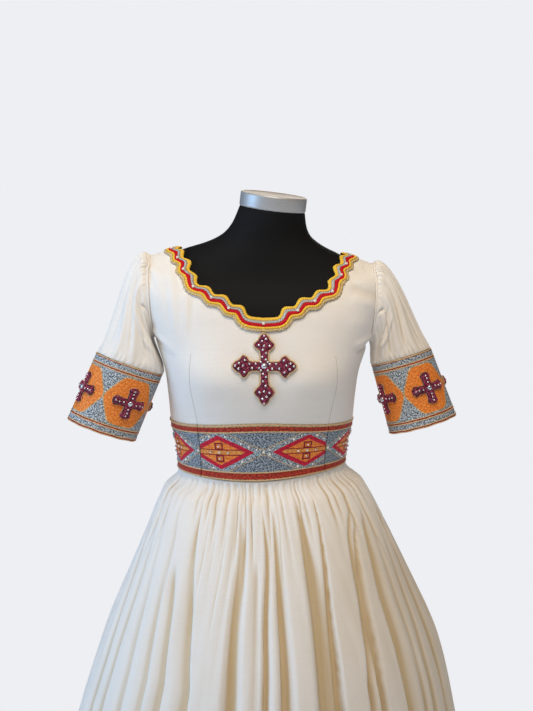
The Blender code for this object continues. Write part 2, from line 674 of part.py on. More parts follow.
class Sleeve:
    """One sleeve with its cuff. share runs round it from 0 at the top or outer side, by way of the back."""

    def __init__(self, row):
        size = dict(zip(SLEEVE_COLUMNS.split(), row))
        self.side = size["side"]
        self.top = np.array([self.side * size["top_x"], size["top_y"], size["top_z"]])
        self.low = np.array([self.side * size["low_x"], size["low_y"], size["low_z"]])
        self.halves = (size["top_half"], size["low_half"])
        self.cross_turn = size["cross_turn"]
        self.axis = unit(self.low - self.top)
        self.back = unit(np.array([0, 1, 0]) - self.axis[1] * self.axis)
        self.out = unit(np.cross(self.axis, self.back) * self.side + size["tilt"] * self.axis)

    def cuff(self, share, drop, lift):
        """A point of the cuff, drop below its top along its axis."""
        turn, drop = np.broadcast_arrays(2 * HALF_TURN * np.asarray(share, float), np.asarray(drop, float))
        half = (self.halves[0] + (self.halves[1] - self.halves[0]) * drop / CUFF_HEIGHT)[..., None]
        deep = half * CUFF_FLATNESS
        cosine, sine = np.cos(turn)[..., None], np.sin(turn)[..., None]
        normal = unit(cosine * deep * self.out + sine * half * self.back)
        return self.top + drop[..., None] * self.axis + cosine * half * self.out + sine * deep * self.back + lift * normal

    def smooth(self, share, down):
        """The sleeve without its gathers. down is 0 at the armhole and 1 at the cuff.

        Most of its width is gathered into the top of the armhole."""
        share, down = np.broadcast_arrays(np.asarray(share, float), np.asarray(down, float))
        turn = 2 * HALF_TURN * share
        turn = turn - 0.55 * np.sin(turn)
        upper = ((1 + np.cos(turn)) / 2)[..., None]
        lift = EASE + COTTON + SEAM_GAP + (1 - upper) * COTTON
        start = body(*armhole(turn), lift) * np.array([self.side, 1, 1])
        start = settled(start)
        end = self.cuff(share, -CUFF_GAP, 0)
        reach = np.linalg.norm(end - start, axis=-1, keepdims=True)
        high = np.array([self.side * 0.95, 0, 0.45])
        low = np.array([self.side * 0.80, 0, -0.60])
        first = start + unit(high * upper + low * (1 - upper)) * reach * (0.21 + 0.07 * (1 - upper))
        second = end - self.axis * reach * (0.17 + 0.17 * (1 - upper)) - self.out * reach * 0.10 * upper
        t = down[..., None]
        return (1 - t) ** 3 * start + 3 * t * (1 - t) ** 2 * first + 3 * t * t * (1 - t) * second + t**3 * end

    def gathered(self, share, down):
        """A point of the sleeve."""
        small = 1e-4
        share, down = np.broadcast_arrays(np.asarray(share, float), np.asarray(down, float))
        inside = np.clip(down, small, 1 - small)
        around = self.smooth(share + small, down) - self.smooth(share - small, down)
        along = self.smooth(share, inside + small) - self.smooth(share, inside - small)
        outward = unit(np.cross(along, around)) * self.side
        wave = 0.5 + 0.5 * np.cos(2 * HALF_TURN * SLEEVE_GATHERS * share)
        upper = np.clip(np.cos(2 * HALF_TURN * share) + 0.35, 0, 1)
        stand = SLEEVE_FULLNESS.at("head", down) * upper * wave + SLEEVE_FULLNESS.at("cuff", down) * wave
        return self.smooth(share, down) + stand[..., None] * outward


def make_sleeves(cotton, embroidered, beaded):
    for name, row in SLEEVES.items():
        sleeve = Sleeve(row)
        columns = SLEEVE_GATHERS * STEPS_PER_SLEEVE_GATHER
        share = np.arange(columns) / columns
        grid = sleeve.gathered(share[None, :], np.array(SLEEVE_RINGS)[:, None])
        core = (sleeve.top + settled(body(*armhole(0.0), 0) * np.array([sleeve.side, 1, 1]))) / 2
        cloth(f"sleeve_{name}", [grid], COTTON, cotton, wrap=True, core=core)
        share = np.arange(40) / 40
        core = (sleeve.top + sleeve.low) / 2
        grid = sleeve.cuff(share[None, :], np.array([0, CUFF_HEIGHT])[:, None], 0)
        cloth(f"cuff_{name}", [grid], EMBROIDERED, embroidered, wrap=True, core=core)
        girth = HALF_TURN * sum(sleeve.halves) * math.sqrt((1 + CUFF_FLATNESS**2) / 2)
        for k in range(CUFF_CROSSES):
            middle = (k + 0.5) / CUFF_CROSSES + sleeve.cross_turn

            def place(across, up, middle=middle, sleeve=sleeve, girth=girth):
                return sleeve.cuff(middle + across / girth, CUFF_HEIGHT / 2 - up, EMBROIDERED + 1.5 * SEAM_GAP)

            applique(f"cuff_cross_{name}_{k + 1}", CUFF_CROSS_ARM, 1, place, core, TRIM, beaded)


# ---------------------------------------------------------------- the skirt


def fold_height(degrees):
    """How far the main folds stand out at an angle in degrees from the front, as a share of their depth."""
    height = np.zeros_like(degrees)
    for angle, width, rise in FOLDS.rows:
        away = np.abs((degrees - angle + 180) % 360 - 180) / width
        height = np.maximum(height, rise * np.cos(np.clip(away, 0, 1) * HALF_TURN / 2) ** 2)
    return height


def skirt_point(angle, drop):
    """A point of the skirt's inner face, drop below the waist seam at the side."""
    angle, drop = np.broadcast_arrays(angle, drop)
    z = WAIST - drop
    free = ring_radius(angle, *[SKIRT.at(name, z) for name in ("half_width", "front", "back", "power")])
    seam = np.linalg.norm(body(waist(angle), angle, EASE)[..., :2], axis=-1)
    loose = np.clip((drop - SEAM_STRIP) / 0.03, 0, 1)
    loose = loose * loose * (3 - 2 * loose)
    started = np.clip((drop - SEAM_STRIP) / 0.02, 0, 1)
    gathers = SKIRT.at("gather", z) * np.sin(GATHERS * angle)
    folds = SKIRT.at("fold", z) * fold_height(np.degrees(angle - FRONT))
    radius = seam + (free - seam) * loose + (gathers + folds) * started
    lowered = (2 * SEAM_GAP + WAIST - waist(angle)) * (1 - drop / (WAIST - HEM)) ** 2
    across = radius * np.cos(angle) + SKIRT.at("sway", z)
    return np.stack([across, radius * np.sin(angle), z - lowered], axis=-1)


def make_skirt(look):
    """The front and the back. Each gather has a column of points on its crest and another in its hollow."""
    drops = np.array(SKIRT_DROPS)[:, None]
    seam = 0.6 * SEAM_GAP / SKIRT.at("half_width", WAIST - drops)
    for name, begin in (("skirt_front", -HALF_TURN), ("skirt_back", 0)):
        middle = begin + HALF_TURN * (np.arange(GATHERS) + 0.5) / GATHERS
        middle = np.broadcast_to(middle, (len(drops), GATHERS))
        angles = np.concatenate([begin + seam, middle, begin + HALF_TURN - seam], axis=1)
        cloth(name, [skirt_point(angles, drops)], COTTON, look, core=(0, 0, 0.6))


# ---------------------------------------------------------------- all of it

for leftover in list(bpy.data.objects):
    bpy.data.objects.remove(leftover)
PART = bpy.data.collections.new("habesha_kemis")
bpy.context.scene.collection.children.link(PART)

white_cotton = material("white_cotton", (0.86, 0.84, 0.79), 0.85)
blue_grey_embroidery = material("blue_grey_embroidery", (0.22, 0.27, 0.33), 0.6)
scalloped_trim = material("scalloped_trim", (0.80, 0.42, 0.06), 0.55)
crimson_beads = material("crimson_beads", (0.23, 0.02, 0.07), 0.35)
black_cover = material("black_cover", (0.012, 0.012, 0.013), 0.8)
grey_cap = material("grey_cap", (0.36, 0.40, 0.44), 0.45)
steel_pole = material("steel_pole", (0.55, 0.56, 0.58), 0.3, 1.0)
black_iron = material("black_iron", (0.03, 0.03, 0.03), 0.5)

make_torso(black_cover)
make_neck_cap(grey_cap)
make_stand(steel_pole, black_iron)
make_bodice(white_cotton)
make_neck_trim(scalloped_trim)
make_chest_cross(crimson_beads)
make_waistband(blue_grey_embroidery)
make_sleeves(white_cotton, blue_grey_embroidery, crimson_beads)
make_skirt(white_cotton)
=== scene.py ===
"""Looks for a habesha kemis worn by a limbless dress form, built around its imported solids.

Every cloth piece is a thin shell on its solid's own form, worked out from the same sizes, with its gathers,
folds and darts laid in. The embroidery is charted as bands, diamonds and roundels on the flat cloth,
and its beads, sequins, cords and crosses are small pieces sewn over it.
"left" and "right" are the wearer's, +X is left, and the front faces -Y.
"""

import math

import bpy
import numpy as np
from bpy.props import FloatProperty, FloatVectorProperty, PointerProperty
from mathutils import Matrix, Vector


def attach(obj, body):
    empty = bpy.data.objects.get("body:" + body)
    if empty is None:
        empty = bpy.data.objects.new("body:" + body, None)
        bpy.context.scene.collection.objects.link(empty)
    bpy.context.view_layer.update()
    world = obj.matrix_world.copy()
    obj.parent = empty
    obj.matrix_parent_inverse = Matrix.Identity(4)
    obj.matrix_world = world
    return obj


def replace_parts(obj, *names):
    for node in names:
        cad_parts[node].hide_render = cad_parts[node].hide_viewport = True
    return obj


bl_info = {
    "name": "Habesha Kemis on a Dress Form",
    "version": (1, 0, 0),
    "blender": (4, 5, 0),
    "location": "View3D > Sidebar > Kemis",
    "description": "Sews an embroidered habesha kemis over its packed solids and sets up a plain studio",
    "category": "Object",
}

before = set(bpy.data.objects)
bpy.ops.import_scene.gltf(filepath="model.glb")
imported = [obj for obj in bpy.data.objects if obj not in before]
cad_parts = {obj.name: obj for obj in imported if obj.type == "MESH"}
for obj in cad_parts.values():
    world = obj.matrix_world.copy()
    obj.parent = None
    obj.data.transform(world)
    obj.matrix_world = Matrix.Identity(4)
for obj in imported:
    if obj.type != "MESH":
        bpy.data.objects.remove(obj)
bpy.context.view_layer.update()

# ---- sizes shared with the solids

SEAM_GAP = 0.0004
EASE = 0.004
COTTON = 0.0015
EMBROIDERED = 0.0025
OVERLAY_GAP = 0.0009

WAIST, WAIST_DIP, WAIST_TILT = 1.048, 0.009, 0.005
BAND_TOP, BAND_RISE = 1.127, 0.012
CHEST = (0, 0, 1.25)
DART_LOW, DART_HIGH = math.radians(55), math.radians(51.5)
HEM = 0.05

CUFF_HEIGHT = 0.120
CUFF_GAP = 0.0008
ARMHOLE_MIDDLE = (0.1803, 0.002, 1.323)
ARMHOLE_LEAN = 0.11
ARMHOLE_SWEEP = 0.152
SLANT = math.tan(math.radians(2.2))
SLANT_FROM, SLANT_TO = 1.14, 1.36

TRIM_WIDTH = 0.022
SCALLOP = 0.0034
OUTER_SWING = 0.65
SCALLOP_LENGTH = 0.032
FIRST_SCALLOP = 0.038
TRIM_FLAT = 0.4
TRIM_EDGE_EASE = 0.003
EDGE_UNDER_TRIM = 0.0128

NECK_TIP_FORWARD, NECK_TIP_SIDE = math.radians(5), math.radians(4.6)
NECK_TOP = 1.476
CAP_HEIGHT = 0.024
TORSO_BOTTOM = 0.790

BASE_RADIUS, BASE_THICK = 0.190, 0.012
BOSS_TOP, BOSS_RADIUS = 0.042, 0.028
POLE_RADIUS, FLANGE_RADIUS = 0.0125, 0.045

FRONT = -math.pi / 2
THREAD_SIDES = 6
HALF_TURN = math.pi
TURN = 2 * math.pi
MIRROR = np.array([-1.0, 1.0, 1.0])


def smooth(value, low, high):
    """0 below low, 1 above high and a soft step between."""
    t = np.clip((np.asarray(value, float) - low) / (high - low), 0, 1)
    return t * t * (3 - 2 * t)


def monotone(keys, values, at):
    """The smooth curve through (keys, values) that never overshoots them, read at any array of keys."""
    gap = np.diff(keys)
    rise = np.diff(values) / gap
    near, far = rise[:-1], rise[1:]
    same_way = near * far > 0
    near_weight = 2 * gap[1:] + gap[:-1]
    far_weight = gap[1:] + 2 * gap[:-1]
    total = near_weight / np.where(same_way, near, 1) + far_weight / np.where(same_way, far, 1)
    slope = np.concatenate([rise[:1], np.where(same_way, (near_weight + far_weight) / total, 0), rise[-1:]])
    at = np.clip(np.asarray(at, float), keys[0], keys[-1])
    k = np.clip(np.searchsorted(keys, at) - 1, 0, len(gap) - 1)
    t = (at - keys[k]) / gap[k]
    start = (1 + 2 * t) * (1 - t) ** 2 * values[k] + t * (1 - t) ** 2 * gap[k] * slope[k]
    end = t * t * (3 - 2 * t) * values[k + 1] + t * t * (t - 1) * gap[k] * slope[k + 1]
    return start + end


class Table:
    """Rows of named columns, read along a smooth curve at any value of the first column."""

    def __init__(self, columns, *rows):
        self.columns = columns.split()
        self.rows = np.array(rows, float)

    def at(self, column, key):
        return monotone(self.rows[:, 0], self.rows[:, self.columns.index(column)], key)


BODY = Table(
    "level half_width front back centre_y power droop shift tip",
    (0.79, 0.158, 0.098, 0.108, 0, 2.2, 0, 0, 0),
    (0.86, 0.17, 0.106, 0.124, 0, 2.2, 0, 0, 0),
    (0.94, 0.164, 0.104, 0.116, 0, 2.2, 0, 0, 0),
    (1, 0.147, 0.097, 0.099, 0, 2.2, 0, 0, 0),
    (1.045, 0.1365, 0.0925, 0.088, 0, 2.2, 0, 0, 0),
    (1.085, 0.14, 0.0975, 0.09, 0, 2.2, 0, 0, 0),
    (1.128, 0.1485, 0.106, 0.095, 0, 2.2, 0, 0, 0),
    (1.165, 0.1515, 0.118, 0.1, 0, 2.25, 0, 0, 0),
    (1.205, 0.156, 0.124, 0.104, 0, 2.3, 0, 0, 0),
    (1.25, 0.169, 0.117, 0.106, 0.002, 2.5, 0, 0, 0),
    (1.3, 0.185, 0.106, 0.106, 0.004, 2.8, 0.004, 0, 0),
    (1.34, 0.193, 0.096, 0.102, 0.007, 3, 0.016, 0, 0),
    (1.366, 0.195, 0.086, 0.094, 0.01, 3.1, 0.029, 0, 0),
    (1.382, 0.191, 0.078, 0.088, 0.011, 3.1, 0.037, 0, 0),
    (1.3885, 0.177, 0.075, 0.084, 0.012, 3, 0.04, 0, 0),
    (1.394, 0.16, 0.072, 0.081, 0.012, 2.8, 0.04, 0, 0),
    (1.4, 0.141, 0.069, 0.078, 0.012, 2.7, 0.038, 0, 0),
    (1.4075, 0.1235, 0.065, 0.073, 0.011, 2.5, 0.033, 0.002, 0),
    (1.4155, 0.1025, 0.061, 0.068, 0.01, 2.35, 0.025, 0.005, 0),
    (1.424, 0.0855, 0.057, 0.064, 0.008, 2.2, 0.017, 0.0078, 0.02),
    (1.434, 0.072, 0.0545, 0.06, 0.006, 2.1, 0.01, 0.01, 0.1),
    (1.449, 0.062, 0.053, 0.055, 0.003, 2, 0.003, 0.013, 0.35),
    (1.476, 0.0535, 0.05, 0.05, -0.002, 2, 0, 0.0176, 1),
)
DROOP_REACH = 0.05
BUST_LEVEL, BUST_HEIGHT = 1.208, 0.046
BUST_ANGLE, BUST_WIDTH = math.radians(37), math.radians(23)
BUST_RISE = 0.012

NECK = Table(
    "share x y z",
    (0, 0, -0.0975, 1.306),
    (0.045, 0.019, -0.0965, 1.3076),
    (0.095, 0.038, -0.093, 1.3195),
    (0.155, 0.0596, -0.086, 1.331),
    (0.22, 0.0814, -0.0765, 1.3405),
    (0.285, 0.1005, -0.0655, 1.351),
    (0.345, 0.1115, -0.051, 1.3665),
    (0.405, 0.118, -0.034, 1.382),
    (0.48, 0.129, -0.01, 1.3965),
    (0.56, 0.135, 0.015, 1.401),
    (0.65, 0.127, 0.048, 1.391),
    (0.75, 0.102, 0.076, 1.375),
    (0.87, 0.055, 0.092, 1.359),
    (1, 0, 0.096, 1.354),
)

SLEEVE_COLUMNS = "side top_x top_y top_z low_x low_y low_z top_half low_half cross_turn tilt"
SLEEVES = {
    "right": (-1, 0.2200, -0.018, 1.2210, 0.2690, -0.030, 1.1080, 0.0550, 0.0568, 0.050, 0.07),
    "left": (1, 0.2338, -0.010, 1.2300, 0.2718, -0.022, 1.1140, 0.0490, 0.0554, -0.058, 0.03),
}
CUFF_FLATNESS = 0.90
CUFF_CROSSES = 4

SKIRT = Table(
    "z half_width front back power fold sway",
    (0.05, 0.402, 0.362, 0.382, 2, 0.034, 0),
    (0.3, 0.362, 0.327, 0.347, 2, 0.03, 0.004),
    (0.596, 0.307, 0.282, 0.298, 2, 0.024, 0.009),
    (0.742, 0.272, 0.25, 0.266, 2, 0.018, 0.014),
    (0.873, 0.2225, 0.198, 0.212, 2.1, 0.011, 0.01),
    (0.927, 0.2015, 0.172, 0.183, 2.15, 0.0075, 0.008),
    (1.015, 0.164, 0.121, 0.122, 2.2, 0.002, 0.003),
    (1.033, 0.153, 0.106, 0.104, 2.2, 0.0005, 0.001),
    (1.048, 0.141, 0.097, 0.093, 2.2, 0, 0),
)
# Half the width of a cross's arm, out along it.
CHEST_CROSS_ARM = Table(
    "along half",
    (0.0074, 0.0074), (0.016, 0.0068), (0.0235, 0.0078), (0.029, 0.015),
    (0.035, 0.0168), (0.039, 0.0098), (0.0445, 0.0078), (0.0505, 0.0018),
)
CHEST_CROSS_X, CHEST_CROSS_Z = -0.001, 1.2320
LOWER_ARM_STRETCH = 1.19
CUFF_CROSS_ARM = Table("along half", (0.0065, 0.0062), (0.0160, 0.0066), (0.0215, 0.0082), (0.0262, 0.0030))


# ---- the form's surface


def unit(vector):
    return vector / np.maximum(np.linalg.norm(vector, axis=-1, keepdims=True), 1e-12)


def arc(points, axis=0):
    """Length along a curve, or along a grid of points from its first row or column."""
    steps = np.linalg.norm(np.diff(points, axis=axis), axis=-1)
    start = np.zeros_like(np.take(steps, [0], axis=axis))
    return np.concatenate([start, np.cumsum(steps, axis=axis)], axis=axis)


def ring_radius(angle, half_width, front, back, power):
    """Distance from the middle of a ring that is half_width wide and front or back deep."""
    depth = np.where(np.sin(angle) < 0, front, back)
    across, deep = np.abs(np.cos(angle)) / half_width, np.abs(np.sin(angle)) / depth
    return (across**power + deep**power) ** (-1 / power)


def form_radius(level, angle):
    """Distance from the middle of a ring of the form to its surface."""
    sizes = [BODY.at(name, level) for name in ("half_width", "front", "back", "power")]
    away = np.abs((angle - FRONT + HALF_TURN) % TURN - HALF_TURN)
    bust = np.exp(-(((away - BUST_ANGLE) / BUST_WIDTH) ** 2) - ((level - BUST_LEVEL) / BUST_HEIGHT) ** 2)
    return ring_radius(angle, *sizes) + BUST_RISE * bust


def bare_body(level, angle):
    """The form's own surface. angle is seen from above: 0 is the wearer's left and FRONT the front."""
    level, angle = np.broadcast_arrays(np.asarray(level, float), np.asarray(angle, float))
    radius = form_radius(level, angle)
    x, y = radius * np.cos(angle), radius * np.sin(angle)
    z = level - BODY.at("droop", level) * y**2 / (y**2 + DROOP_REACH**2)
    z = z + BODY.at("tip", level) * (y * math.tan(NECK_TIP_FORWARD) - x * math.tan(NECK_TIP_SIDE))
    return np.stack([x + BODY.at("shift", level), y + BODY.at("centre_y", level), z], axis=-1)


def body_directions(level, angle):
    """How a point of the form moves as the level and the angle grow, and the outward normal there."""
    small = 1e-4
    up = (bare_body(level + small, angle) - bare_body(level - small, angle)) / (2 * small)
    round_ = (bare_body(level, angle + small) - bare_body(level, angle - small)) / (2 * small)
    return up, round_, unit(np.cross(round_, up))


def body(level, angle, lift):
    """A point lifted off the form by lift."""
    return bare_body(level, angle) + np.asarray(lift)[..., None] * body_directions(level, angle)[2]


def located(point):
    """Level and angle of the form nearest a point, and how far outside the form the point is."""
    level = point[..., 2]
    for _ in range(12):
        away = point[..., 1] - BODY.at("centre_y", level)
        level = point[..., 2] + BODY.at("droop", level) * away**2 / (away**2 + DROOP_REACH**2)
    away = point[..., 1] - BODY.at("centre_y", level)
    angle = np.arctan2(away, point[..., 0])
    return level, angle, np.hypot(point[..., 0], away) - form_radius(level, angle)


def way_out(start, way):
    """Level and angle where a ray from inside the form leaves it."""
    near = np.zeros(np.broadcast_shapes(start.shape, way.shape)[:-1])
    far = near + 0.3
    for _ in range(36):
        middle = (near + far) / 2
        outside = located(start + middle[..., None] * way)[2] > 0
        near, far = np.where(outside, near, middle), np.where(outside, middle, far)
    return located(start + near[..., None] * way)[:2]


def through(points):
    """Level and angle of the form where rays from its middle pass through points."""
    points = np.asarray(points, float)
    start = np.stack([0 * points[..., 0], 0 * points[..., 1], np.minimum(points[..., 2], 1.30)], axis=-1)
    return way_out(start, unit(points - start))


def seen_from_front(x, z):
    """Level and angle of the point of the form's front that is seen at x, z."""
    start = np.stack([x, 0 * x, z], axis=-1)
    return way_out(start, np.array([0.0, -1.0, 0.0]))


def settled(points):
    """Everything above the waist shears down a little towards the wearer's left."""
    rise = np.clip((points[..., 2] - SLANT_FROM) / (SLANT_TO - SLANT_FROM), 0, 1)
    lowered = points.copy()
    lowered[..., 2] -= SLANT * points[..., 0] * rise * rise * (3 - 2 * rise)
    return lowered


def moved(level, angle, move):
    """Level and angle of points of the form after a small move over it."""
    up, round_, _ = body_directions(level, angle)
    uu, ur, rr = (up * up).sum(-1), (up * round_).sum(-1), (round_ * round_).sum(-1)
    mu, mr = (move * up).sum(-1), (move * round_).sum(-1)
    spread = uu * rr - ur * ur
    return level + (mu * rr - mr * ur) / spread, angle + (mr * uu - mu * ur) / spread


def nearest(points):
    """Level and angle of the points of the form nearest to points that lie just inside it."""
    level, angle = through(points)
    for _ in range(12):
        level, angle = moved(level, angle, 0.7 * (points - bare_body(level, angle)))
    return level, angle


def beside(level, angle, distance):
    """A curve on the form moved sideways over it by distance, to the left of the way it runs."""
    steps = 8
    for _ in range(steps):
        normal = body_directions(level, angle)[2]
        sideways = np.cross(normal, unit(np.gradient(bare_body(level, angle), axis=0)))
        level, angle = moved(level, angle, sideways * distance / steps)
    return level, angle


def neck_curve(samples=161):
    """The neck opening from the centre front over the wearer's left shoulder to the centre back, evenly spaced.

    Returns level, angle and the length from the centre front."""
    share = np.linspace(0, 1, samples)
    level, angle = through(np.stack([NECK.at(name, share) for name in "xyz"], axis=-1))
    length = arc(bare_body(level, angle))
    even = np.linspace(0, length[-1], samples)
    return np.interp(even, length, level), np.interp(even, length, angle), even


def armhole(turn):
    """Level and angle of the left armhole. turn is 0 at its top, and grows towards the back."""
    turn = np.asarray(turn, float)
    back = np.sin(turn) + ARMHOLE_SWEEP * np.clip(np.cos(turn), 0, 1) ** 2
    way = np.stack([ARMHOLE_LEAN * np.cos(turn), back, np.cos(turn)], axis=-1)
    return way_out(np.array(ARMHOLE_MIDDLE), way)


def waist(angle):
    """Height of the waist seam."""
    return WAIST - WAIST_DIP * np.clip(-np.sin(angle), 0, 1) ** 2 + WAIST_TILT * np.cos(angle)


def band_top(angle):
    return BAND_TOP + BAND_RISE * np.clip(-np.sin(angle), 0, 1) ** 2


# ---- meshes


def show(name, mesh, finish):
    """A new piece that rides on the part, smooth shaded, with its finish."""
    mesh.materials.append(finish)
    mesh.shade_smooth()
    obj = bpy.data.objects.new(name, mesh)
    bpy.context.scene.collection.objects.link(obj)
    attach(obj, "root")
    return obj


def joined_mesh(name, grids, core=None):
    """One mesh from (points, flat) grids, where flat is each point's place on the flat cloth.

    A third array is each point's painted shade: how far its cloth is painted darker and warmer. Points that
    coincide are made one. Faces are turned away from core."""
    points = np.concatenate([grid[0].reshape(-1, 3) for grid in grids])
    flats = np.concatenate([grid[1].reshape(-1, 2) for grid in grids])
    painted_shades = [grid[2].reshape(-1) for grid in grids if len(grid) > 2]
    quads, start = [], 0
    for grid, *_ in grids:
        rows, columns = grid.shape[:2]
        index = np.arange(rows * columns).reshape(rows, columns) + start
        corners = (index[:-1, :-1], index[:-1, 1:], index[1:, 1:], index[1:, :-1])
        quads.append(np.stack(corners, axis=-1).reshape(-1, 4))
        start += rows * columns
    quads = np.concatenate(quads)
    if core is not None:
        across = np.cross(points[quads[:, 2]] - points[quads[:, 0]], points[quads[:, 3]] - points[quads[:, 1]])
        if (across * (points[quads].mean(axis=1) - np.array(core))).sum() < 0:
            quads = quads[:, ::-1]
    keys = np.round(points / 2e-6).astype(np.int64)
    _, first, same = np.unique(keys, axis=0, return_index=True, return_inverse=True)
    same = same.reshape(-1).tolist()
    faces = [{same[corner]: corner for corner in quad} for quad in quads.tolist()]
    faces = [face for face in faces if len(face) > 2]
    mesh = bpy.data.meshes.new(name)
    mesh.from_pydata(points[first].tolist(), [], [list(face) for face in faces])
    corners = [corner for face in faces for corner in face.values()]
    mesh.uv_layers.new(name="cloth").data.foreach_set("uv", flats[corners].reshape(-1))
    if painted_shades:
        point_values(mesh, "hollow", np.concatenate(painted_shades)[first])
    return mesh


def point_values(mesh, name, values):
    """Stores one number for each point of the mesh."""
    mesh.attributes.new(name, "FLOAT", "POINT").data.foreach_set("value", np.asarray(values, np.float32))


def shell(name, grids, wall, finish, core):
    """A cloth piece: a thin wall that thickens away from core."""
    obj = show(name, joined_mesh(name, grids, core), finish)
    solidify = obj.modifiers.new("Wall", "SOLIDIFY")
    solidify.thickness = wall
    solidify.offset = 1
    return obj


def flat_grid(u, v):
    return np.stack(np.broadcast_arrays(u, v), axis=-1)


def frames(normals):
    """Two directions across each normal."""
    along = np.where(np.abs(normals[:, 2:3]) < 0.8, [[0.0, 0.0, 1.0]], [[1.0, 0.0, 0.0]])
    first = unit(np.cross(along, normals))
    return first, np.cross(normals, first)


def copies(name, small, places, normals, sizes, finish, seed):
    """Copies of a small mesh, joined, one at each place, standing along its normal and turned by chance.

    small is its points and faces, and sizes is how far each copy reaches across and up. Each copy keeps a
    tint, a chance number from 0 to 1."""
    template, faces = small
    chance = np.random.default_rng(seed)
    places, normals = np.asarray(places, float), unit(np.asarray(normals, float))
    first, second = frames(normals)
    turn = chance.uniform(0, TURN, len(places))[:, None]
    first, second = first * np.cos(turn) + second * np.sin(turn), second * np.cos(turn) - first * np.sin(turn)
    sizes = np.broadcast_to(np.asarray(sizes, float), (len(places), 2))
    across, up = sizes[:, None, :1], sizes[:, None, 1:]
    points = places[:, None] + across * (template[:, 0:1] * first[:, None] + template[:, 1:2] * second[:, None])
    points = points + up * template[:, 2:3] * normals[:, None]
    count = len(template)
    corners = [[k + number * count for k in face] for number in range(len(places)) for face in faces]
    mesh = bpy.data.meshes.new(name)
    mesh.from_pydata(points.reshape(-1, 3).tolist(), [], corners)
    point_values(mesh, "tint", np.repeat(chance.random(len(places)), count))
    show(name, mesh, finish)


def ball(rings, sides):
    """Points and faces of a unit ball."""
    points = [(0.0, 0.0, 1.0)]
    for ring in range(1, rings + 1):
        down = HALF_TURN * ring / (rings + 1)
        for side in range(sides):
            turn = TURN * side / sides
            points.append((math.sin(down) * math.cos(turn), math.sin(down) * math.sin(turn), math.cos(down)))
    points.append((0.0, 0.0, -1.0))
    faces = [(0, 1 + side, 1 + (side + 1) % sides) for side in range(sides)]
    for ring in range(rings - 1):
        low = 1 + ring * sides
        for side in range(sides):
            after = (side + 1) % sides
            faces.append((low + side, low + sides + side, low + sides + after, low + after))
    low = 1 + (rings - 1) * sides
    faces += [(len(points) - 1, low + (side + 1) % sides, low + side) for side in range(sides)]
    return np.array(points), faces


def sequin(sides=8):
    """A thin round disc with a dished top."""
    rim = [(math.cos(TURN * k / sides), math.sin(TURN * k / sides), 0.0) for k in range(sides)]
    points = [(0.0, 0.0, -0.35)] + rim + [(0.0, 0.0, -0.75)]
    faces = [(0, 1 + k, 1 + (k + 1) % sides) for k in range(sides)]
    faces += [(sides + 1, 1 + (k + 1) % sides, 1 + k) for k in range(sides)]
    return np.array(points), faces


def gem(sides):
    """A cut stone with a flat table."""
    rings = ((0.55, 1.0), (1.0, 0.35), (1.0, 0.0))
    points = [
        (radius * math.cos(TURN * k / sides), radius * math.sin(TURN * k / sides), height)
        for radius, height in rings
        for k in range(sides)
    ]
    faces = [tuple(range(sides)), tuple(range(2 * sides, 3 * sides))[::-1]]
    for ring in range(2):
        for k in range(sides):
            low, after = ring * sides, (k + 1) % sides
            faces.append((low + k, low + sides + k, low + sides + after, low + after))
    return np.array(points), faces


def thread(points, normals, radius, closed=False, flat=1.0):
    """A (points, flat) grid of a round thread that runs through points and lies on a surface.

    flat is how high it stands, as a share of its width."""
    points = np.asarray(points, float)
    if closed:
        along = unit(np.roll(points, -1, axis=0) - np.roll(points, 1, axis=0))
    else:
        along = unit(np.gradient(points, axis=0))
    across = unit(np.cross(along, normals))
    up = np.cross(across, along)
    turn = np.linspace(0, TURN, THREAD_SIDES + 1)[None, :, None]
    grid = points[:, None] + radius * (np.cos(turn) * across[:, None] + flat * np.sin(turn) * up[:, None])
    grid[:, -1] = grid[:, 0]
    if closed:
        grid = np.concatenate([grid, grid[:1]])
    return grid, flat_grid(arc(grid[:, 0])[:, None], np.linspace(0, TURN * radius, THREAD_SIDES + 1)[None, :])


def threads(name, grids, finish):
    """Several threads joined in one piece, each open one with its ends closed."""
    closed = [grid if np.allclose(grid[0][0], grid[0][-1]) else capped(grid) for grid in grids]
    show(name, joined_mesh(name, closed), finish)


def capped(grid):
    """The grid of a thread whose two ends are drawn together."""
    points, flat = grid
    first = 0 * points[:1] + points[:1].mean(axis=1, keepdims=True)
    last = 0 * points[-1:] + points[-1:].mean(axis=1, keepdims=True)
    return np.concatenate([first, points, last]), np.concatenate([flat[:1], flat, flat[-1:]])


# ---- shader tools


class Shade:
    """A number that varies over a surface. Arithmetic on it adds Math nodes."""

    def __init__(self, finish, socket):
        self.finish = finish
        self.socket = socket

    def maths(self, operation, *others):
        return self.finish.maths(operation, self, *others)

    def __add__(self, other):
        return self.maths("ADD", other)

    __radd__ = __add__

    def __sub__(self, other):
        return self.maths("SUBTRACT", other)

    def __rsub__(self, other):
        return self.finish.maths("SUBTRACT", other, self)

    def __mul__(self, other):
        return self.maths("MULTIPLY", other)

    __rmul__ = __mul__

    def __abs__(self):
        return self.maths("ABSOLUTE")

    def __or__(self, other):
        return self.maths("MAXIMUM", other)

    def __and__(self, other):
        return self.maths("MINIMUM", other)

    def sine(self):
        return self.maths("SINE")

    def wrapped(self, high, low):
        return self.maths("WRAP", high, low)

    def over(self, limit, soft=0.0003):
        """1 where the number is over limit, and 0 under it, with a soft edge."""
        stepped = self.finish.maths("MULTIPLY_ADD", self, 1 / soft, 0.5 - limit / soft)
        stepped.socket.node.use_clamp = True
        return stepped

    def under(self, limit, soft=0.0003):
        stepped = self.finish.maths("MULTIPLY_ADD", self, -1 / soft, 0.5 + limit / soft)
        stepped.socket.node.use_clamp = True
        return stepped

    def within(self, low, high, soft=0.0003):
        """1 between low and high."""
        return self.over(low, soft) & self.under(high, soft)


